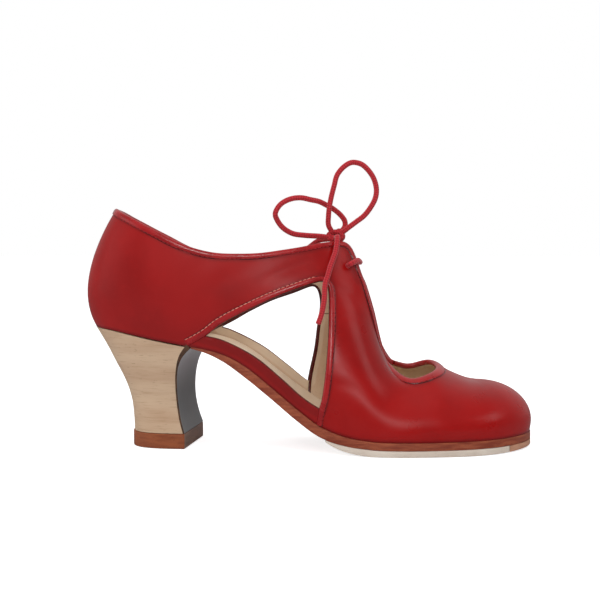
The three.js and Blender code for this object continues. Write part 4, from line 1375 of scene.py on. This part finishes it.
def lining_material():
    shader = Shader("beige lining")
    cloud = shader.noise(45, 3)
    colour = shader.blend(shader.spread(cloud, 0.35, 0.65), (226, 196, 166), (238, 214, 184))
    fibres = shader.noise(900, 4, 0.6)
    colour = shader.tinted(colour, fibres, 0.5, 0.8, 0.3, (196, 164, 134))
    # Darker low down beside the sock: painted shade in the corner.
    corner = shader.spread(shader.attribute("above_sole"), 2.4, 3.8, 0.6, 0.0)
    colour = shader.blend(corner, colour, (120, 88, 64))
    cut_edge = shader.spread(shader.attribute("from_edge"), 3.4, 4.2, 0.8, 0.0)
    colour = shader.blend(cut_edge, colour, (238, 218, 192))
    # A sewn join in the lining of the vamp, at one height.
    off = shader.maths("ABSOLUTE", shader.maths("SUBTRACT", shader.position("Z"), LINING_JOIN * MM))
    join_line = shader.spread(off, 0.0002, 0.0004, 0.8, 0.0)
    on_vamp = shader.spread(shader.position("X"), 0.000, 0.001)
    colour = shader.blend(shader.maths("MULTIPLY", join_line, on_vamp), colour, (110, 84, 66))
    roughness = shader.spread(fibres, 0.3, 0.7, 0.62, 0.78)
    return shader.finish(colour, roughness, shader.bump(fibres, 0.00008, 0.4))


def sock_material():
    shader = Shader("beige sock")
    cloud = shader.noise(40, 3)
    colour = shader.blend(shader.spread(cloud, 0.35, 0.65), (240, 218, 190), (248, 230, 204))
    fibres = shader.noise(1100, 4, 0.6)
    colour = shader.tinted(colour, fibres, 0.5, 0.8, 0.25, (220, 194, 164))
    roughness = shader.spread(fibres, 0.3, 0.7, 0.5, 0.65)
    return shader.finish(colour, roughness, shader.bump(fibres, 0.00006, 0.4))


def tan_material(name, low, high):
    shader = Shader(name)
    layers = shader.noise(90, 4, 0.6, shader.scaled(1, 1, 6))
    colour = shader.blend(shader.spread(layers, 0.3, 0.7), low, high)
    specks = shader.noise(1400, 3, 0.7)
    colour = shader.tinted(colour, specks, 0.56, 0.74, 0.6, (92, 38, 24))
    roughness = shader.spread(layers, 0.3, 0.7, 0.42, 0.58)
    return shader.finish(colour, roughness, shader.bump(specks, 0.0001, 0.35))


def rubber_material():
    shader = Shader("cream rubber")
    cloud = shader.noise(60, 4)
    colour = shader.blend(shader.spread(cloud, 0.3, 0.7), (226, 210, 194), (240, 228, 213))
    dirt = shader.noise(700, 4, 0.7)
    colour = shader.tinted(colour, dirt, 0.58, 0.78, 0.4, (176, 158, 140))
    roughness = shader.spread(dirt, 0.3, 0.7, 0.6, 0.8)
    return shader.finish(colour, roughness, shader.bump(dirt, 0.00008, 0.3))


def wood_material():
    shader = Shader("pale heel wood")
    bands = shader.noise(14, 4, 0.55, shader.scaled(1.2, 1.2, 9), 0.3)
    colour = shader.blend(shader.spread(bands, 0.3, 0.7), (204, 168, 136), (222, 192, 160))
    grain = shader.noise(120, 5, 0.6, shader.scaled(0.8, 0.8, 11))
    colour = shader.tinted(colour, grain, 0.52, 0.74, 0.55, (184, 144, 110))
    flecks = shader.noise(260, 2, 0.5, shader.scaled(1, 1, 5))
    colour = shader.tinted(colour, flecks, 0.66, 0.74, 0.5, (160, 120, 88))
    roughness = shader.spread(grain, 0.3, 0.7, 0.5, 0.62)
    return shader.finish(colour, roughness, shader.bump(grain, 0.00012, 0.35))


def grey_material():
    shader = Shader("grey breast leather")
    cloud = shader.noise(50, 3)
    colour = shader.blend(shader.spread(cloud, 0.35, 0.65), (116, 118, 119), (130, 132, 133))
    # Lighter towards the top: painted light on the grey cover.
    colour = shader.tinted(colour, shader.position("Z"), 0.028, 0.060, 0.75, (222, 225, 230))
    roughness = shader.spread(cloud, 0.3, 0.7, 0.36, 0.5)
    return shader.finish(colour, roughness, shader.bump(shader.noise(1600, 4, 0.6), 0.00005, 0.4))


def lace_material():
    shader = Shader("red lace")
    run = shader.maths("MULTIPLY", shader.attribute("run"), 2 * math.pi / BRAID_PITCH)
    turn = shader.maths("MULTIPLY", shader.attribute("turn"), 3.0)
    first = shader.maths("SINE", shader.maths("ADD", turn, run))
    second = shader.maths("SINE", shader.maths("SUBTRACT", turn, run))
    weave = shader.maths("MULTIPLY", first, second)
    # Darker in the braid's grooves, lighter on its strands: painted shade and light that follow the
    # relief.
    colour = shader.blend(shader.spread(weave, -0.6, 0.7), (168, 22, 32), (208, 40, 52))
    fuzz = shader.noise(2200, 3, 0.6)
    colour = shader.tinted(colour, fuzz, 0.5, 0.8, 0.35, (232, 74, 84))
    shader.set(Sheen_Weight=0.25, Sheen_Roughness=0.5)
    roughness = shader.spread(fuzz, 0.3, 0.7, 0.7, 0.9)
    return shader.finish(colour, roughness, shader.bump(fuzz, 0.00008, 0.5))


# Camera, floor and light

CAMERA_TARGET = np.array([111.22, 0.0, 78.41])
CAMERA_DISTANCE = 704.03
CAMERA_YAW = math.radians(3.34)
CAMERA_PITCH = math.radians(3.83)
LENS = 78.0
SENSOR = 36.0


def make_camera():
    back = np.array([math.sin(CAMERA_YAW) * math.cos(CAMERA_PITCH),
                     -math.cos(CAMERA_YAW) * math.cos(CAMERA_PITCH), math.sin(CAMERA_PITCH)])
    data = bpy.data.cameras.new("camera")
    data.lens = LENS
    data.sensor_width = SENSOR
    camera = bpy.data.objects.new("camera", data)
    bpy.context.collection.objects.link(camera)
    camera.location = Vector(to_row(CAMERA_TARGET + back * CAMERA_DISTANCE))
    camera.rotation_mode = "QUATERNION"
    camera.rotation_quaternion = Vector(-back).to_track_quat("-Z", "Y")
    data.clip_start = 0.01
    data.clip_end = 20
    bpy.context.scene.camera = camera


FLOOR_HALF = 3.0
FLOOR_UNDER = 0.0002             # how far the floor lies under the shoe
FLOOR_GLOW = 0.75
LIGHTS = [
    # place in metres, size in metres, watts, seen in reflections
    ((-0.15, -0.35, 1.20), 1.1, 7.2, False),
    ((-1.25, -0.45, 0.30), 1.1, 3.0, True),
    ((1.05, -0.38, 0.70), 0.5, 1.2, True),
    ((0.06, -1.20, 0.62), 0.26, 2.6, True),
]
LIGHT_AIM = Vector((0.0, 0.0, 0.05))
WORLD_FRONT, WORLD_BEHIND, WORLD_ABOVE = 0.10, 0.45, 0.22


def make_floor():
    mesh = bpy.data.meshes.new("floor")
    corners = [(x * FLOOR_HALF, y * FLOOR_HALF, -FLOOR_UNDER)
               for x, y in ((-1, -1), (1, -1), (1, 1), (-1, 1))]
    mesh.from_pydata(corners, [], [(0, 1, 2, 3)])
    floor = bpy.data.objects.new("floor", mesh)
    bpy.context.collection.objects.link(floor)
    shader = Shader("pale floor")
    paper = shader.spread(shader.noise(30, 2), 0.3, 0.7)
    colour = shader.blend(paper, (232, 232, 234), (240, 240, 242))
    rays = shader.node("ShaderNodeLightPath")
    colour = shader.blend(rays.outputs["Is Glossy Ray"], colour, (140, 140, 142))
    glow = shader.maths("MULTIPLY", rays.outputs["Is Camera Ray"], FLOOR_GLOW)
    shader.link(glow, shader.surface.inputs["Emission Strength"])
    shader.set(Emission_Color=WHITE, Roughness=0.9)
    mesh.materials.append(shader.finish(colour))


def make_lights():
    for number, (place, size, power, reflected) in enumerate(LIGHTS):
        data = bpy.data.lights.new(f"softbox_{number}", "AREA")
        data.size = size
        data.energy = power
        light = bpy.data.objects.new(f"softbox_{number}", data)
        bpy.context.collection.objects.link(light)
        light.location = place
        light.visible_glossy = reflected
        light.rotation_mode = "QUATERNION"
        light.rotation_quaternion = (LIGHT_AIM - Vector(place)).to_track_quat("-Z", "Y")


def make_world():
    """A room that is dim on the near side, bright behind the shoe and lighter overhead."""
    world = bpy.data.worlds.new("studio")
    world.use_nodes = True
    sky = Nodes(world.node_tree)
    direction = sky.node("ShaderNodeSeparateXYZ")
    sky.link(sky.node("ShaderNodeTexCoord").outputs["Generated"], direction.inputs["Vector"])
    depth = sky.spread(direction.outputs["Y"], -0.2, 0.9, WORLD_FRONT, WORLD_BEHIND)
    height = sky.spread(direction.outputs["Z"], -0.2, 0.9, 0.0, WORLD_ABOVE)
    background = sky.tree.nodes["Background"]
    sky.link(sky.maths("ADD", depth, height), background.inputs["Strength"])
    plain = sky.node("ShaderNodeBackground")
    mix = sky.node("ShaderNodeMixShader")
    for node in (background, plain):
        node.inputs["Color"].default_value = WHITE
    sky.link(sky.node("ShaderNodeLightPath").outputs["Is Camera Ray"], mix.inputs["Fac"])
    sky.link(background.outputs["Background"], mix.inputs[1])
    sky.link(plain.outputs["Background"], mix.inputs[2])
    sky.link(mix.outputs["Shader"], sky.tree.nodes["World Output"].inputs["Surface"])
    bpy.context.scene.world = world
    bpy.context.scene.view_settings.view_transform = "Standard"


# Making the shoe

def make_lace():
    lace = lace_material()
    cords = [
        ("lace_loop_rear", loop_route(REAR_LOOP_ROWS), "object"),
        ("lace_loop_front", loop_route(FRONT_LOOP_ROWS), "object"),
        ("lace_end_front", hanging_route(), "bare"),
        ("lace_end_inner", inner_end_route(), "bare"),
    ]
    for node, route, far_end in cords:
        cord, path = lace_tube(node + "_cord", route)
        finish_piece(cord, "red_cord", [lace], node)
    crossing, _ = lace_tube("lace_crossing", crossing_route())
    finish_piece(crossing, "red_cord", [lace],
                 "lace_bar", "lace_strand_lateral", "lace_strand_medial")
    finish_piece(knot_turns(), "red_cord", [lace], "lace_knot")


def make_upper():
    finish_piece(leather_sheet(), "red_leather", [leather_material()], "upper")
    finish_piece(lining_sheet(), "sock_leather", [lining_material()])
    # The collar's turned-in roll is paler pink: a painted highlight.
    collar_binding_with_highlight = binding_material("red collar binding", (168, 40, 40))
    # The windows' turned-in roll is dark: painted shade under the roll.
    window_binding_with_shade = binding_material("red window binding", (84, 14, 16))
    thread = thread_material("red thread", (150, 20, 26), (186, 44, 48))
    # Pale thread for the outer window's seam: a painted highlight along the seam.
    highlight_thread = thread_material("red thread with painted highlight", (222, 118, 104), (244, 168, 148))
    topline = topline_path()
    topline_widths = np.interp(topline[:, 0], *zip(*TOPLINE_WIDTHS))
    outer = window_path(OUTER_WINDOW_ROWS, -1)
    inner = window_path(INNER_WINDOW_ROWS, 1)
    edges = [
        ("topline_binding", topline, True, topline_widths, collar_binding_with_highlight, thread),
        ("outer_window_binding", outer, False, window_widths(outer), window_binding_with_shade, highlight_thread),
        ("inner_window_binding", inner, False, window_widths(inner), window_binding_with_shade, thread),
    ]
    for name, path, closed, widths, edge, upper_thread in edges:
        strip, seam, normals = binding(name, path, closed, widths)
        finish_piece(strip, "red_leather", [edge])
        # The seam over a window is sewn in its own thread up to the window's front corner; on the
        # outer window that thread is pale, a painted highlight.
        corner = len(seam) if closed else int(np.argmax(seam[:, 2]))
        for part, used, start, end in (("upper", upper_thread, 0, corner),
                                       ("front", thread, corner, len(seam))):
            if end - start > 2:
                radius = HIGHLIGHT_THREAD_RADIUS if used is highlight_thread else THREAD_RADIUS
                sewn = stitches(f"{name}_{part}_stitches", seam[start:end], normals[start:end],
                                radius)
                finish_piece(sewn, "red_leather", [used])


def make_band_edges():
    """The raw upper edge of each side band, where no binding covers it."""
    for name, polygon, side, raised in (("outer", outer_window, -1, 0.0),
                                        ("inner", inner_window, 1, INNER_BAND_RAISE)):
        band = side_line(BAND_ROWS, 120, raised)
        inside = (band[:, 0] > polygon[:, 0].min()) & (band[:, 0] < polygon[:, 0].max())
        path = even_points(on_side(band[inside], side), 1.0)
        places, normals = surface_at(path)
        edge = tube(name + "_band_edge", places - normals * BAND_EDGE_DEEP, BAND_EDGE_RADIUS, 10)
        raw = cut_edge_material(name + " band edge", 700, 0.15, (84, 22, 18), (120, 40, 32))
        finish_piece(edge, "red_leather", [raw])


def make_soles():
    finish_piece(insole_plate(), "sock_leather", [sock_material()], "insole")
    tan = tan_material("tan sole leather", (140, 56, 32), (176, 90, 56))
    finish_piece(outsole_plate(), "tan_leather", [tan], "outsole")
    join_at = TOE_PIECE_BACK * LENGTH
    half = tread_plate("half_sole_rubber", HALF_SOLE_BACK * LENGTH, join_at)
    finish_piece(half, "cream_rubber", [rubber_material()], "half_sole")
    toe = tread_plate("toe_piece_leather", join_at + TREAD_SEAM, LENGTH * 1.1)
    pale_tan = tan_material("toe piece leather", (196, 138, 108), (218, 164, 132))
    finish_piece(toe, "tan_leather", [pale_tan], "toe_piece")


def make_heel():
    finish_piece(heel_wood(), "pale_wood", [wood_material()], "heel_block")
    brown = cut_edge_material("brown cut edge", 300, 0.2, (66, 42, 28), (98, 66, 44))
    finish_piece(breast_sheet(), "grey_cover", [grey_material(), brown], "breast_cover")
    lift = heel_top_piece()
    for polygon in lift.data.polygons:
        polygon.material_index = int(polygon.normal.x > 0.9)
    sides = tan_material("tan lift leather", (142, 70, 36), (170, 92, 52))
    # The lift's front face has its own greyer, paler tan.
    greyer_front = tan_material("greyer lift front", (132, 104, 90), (160, 130, 114))
    finish_piece(lift, "tan_leather", [sides, greyer_front], "heel_lift")


make_camera()
make_lace()
make_upper()
make_band_edges()
make_soles()
make_heel()
make_floor()
make_lights()
make_world()
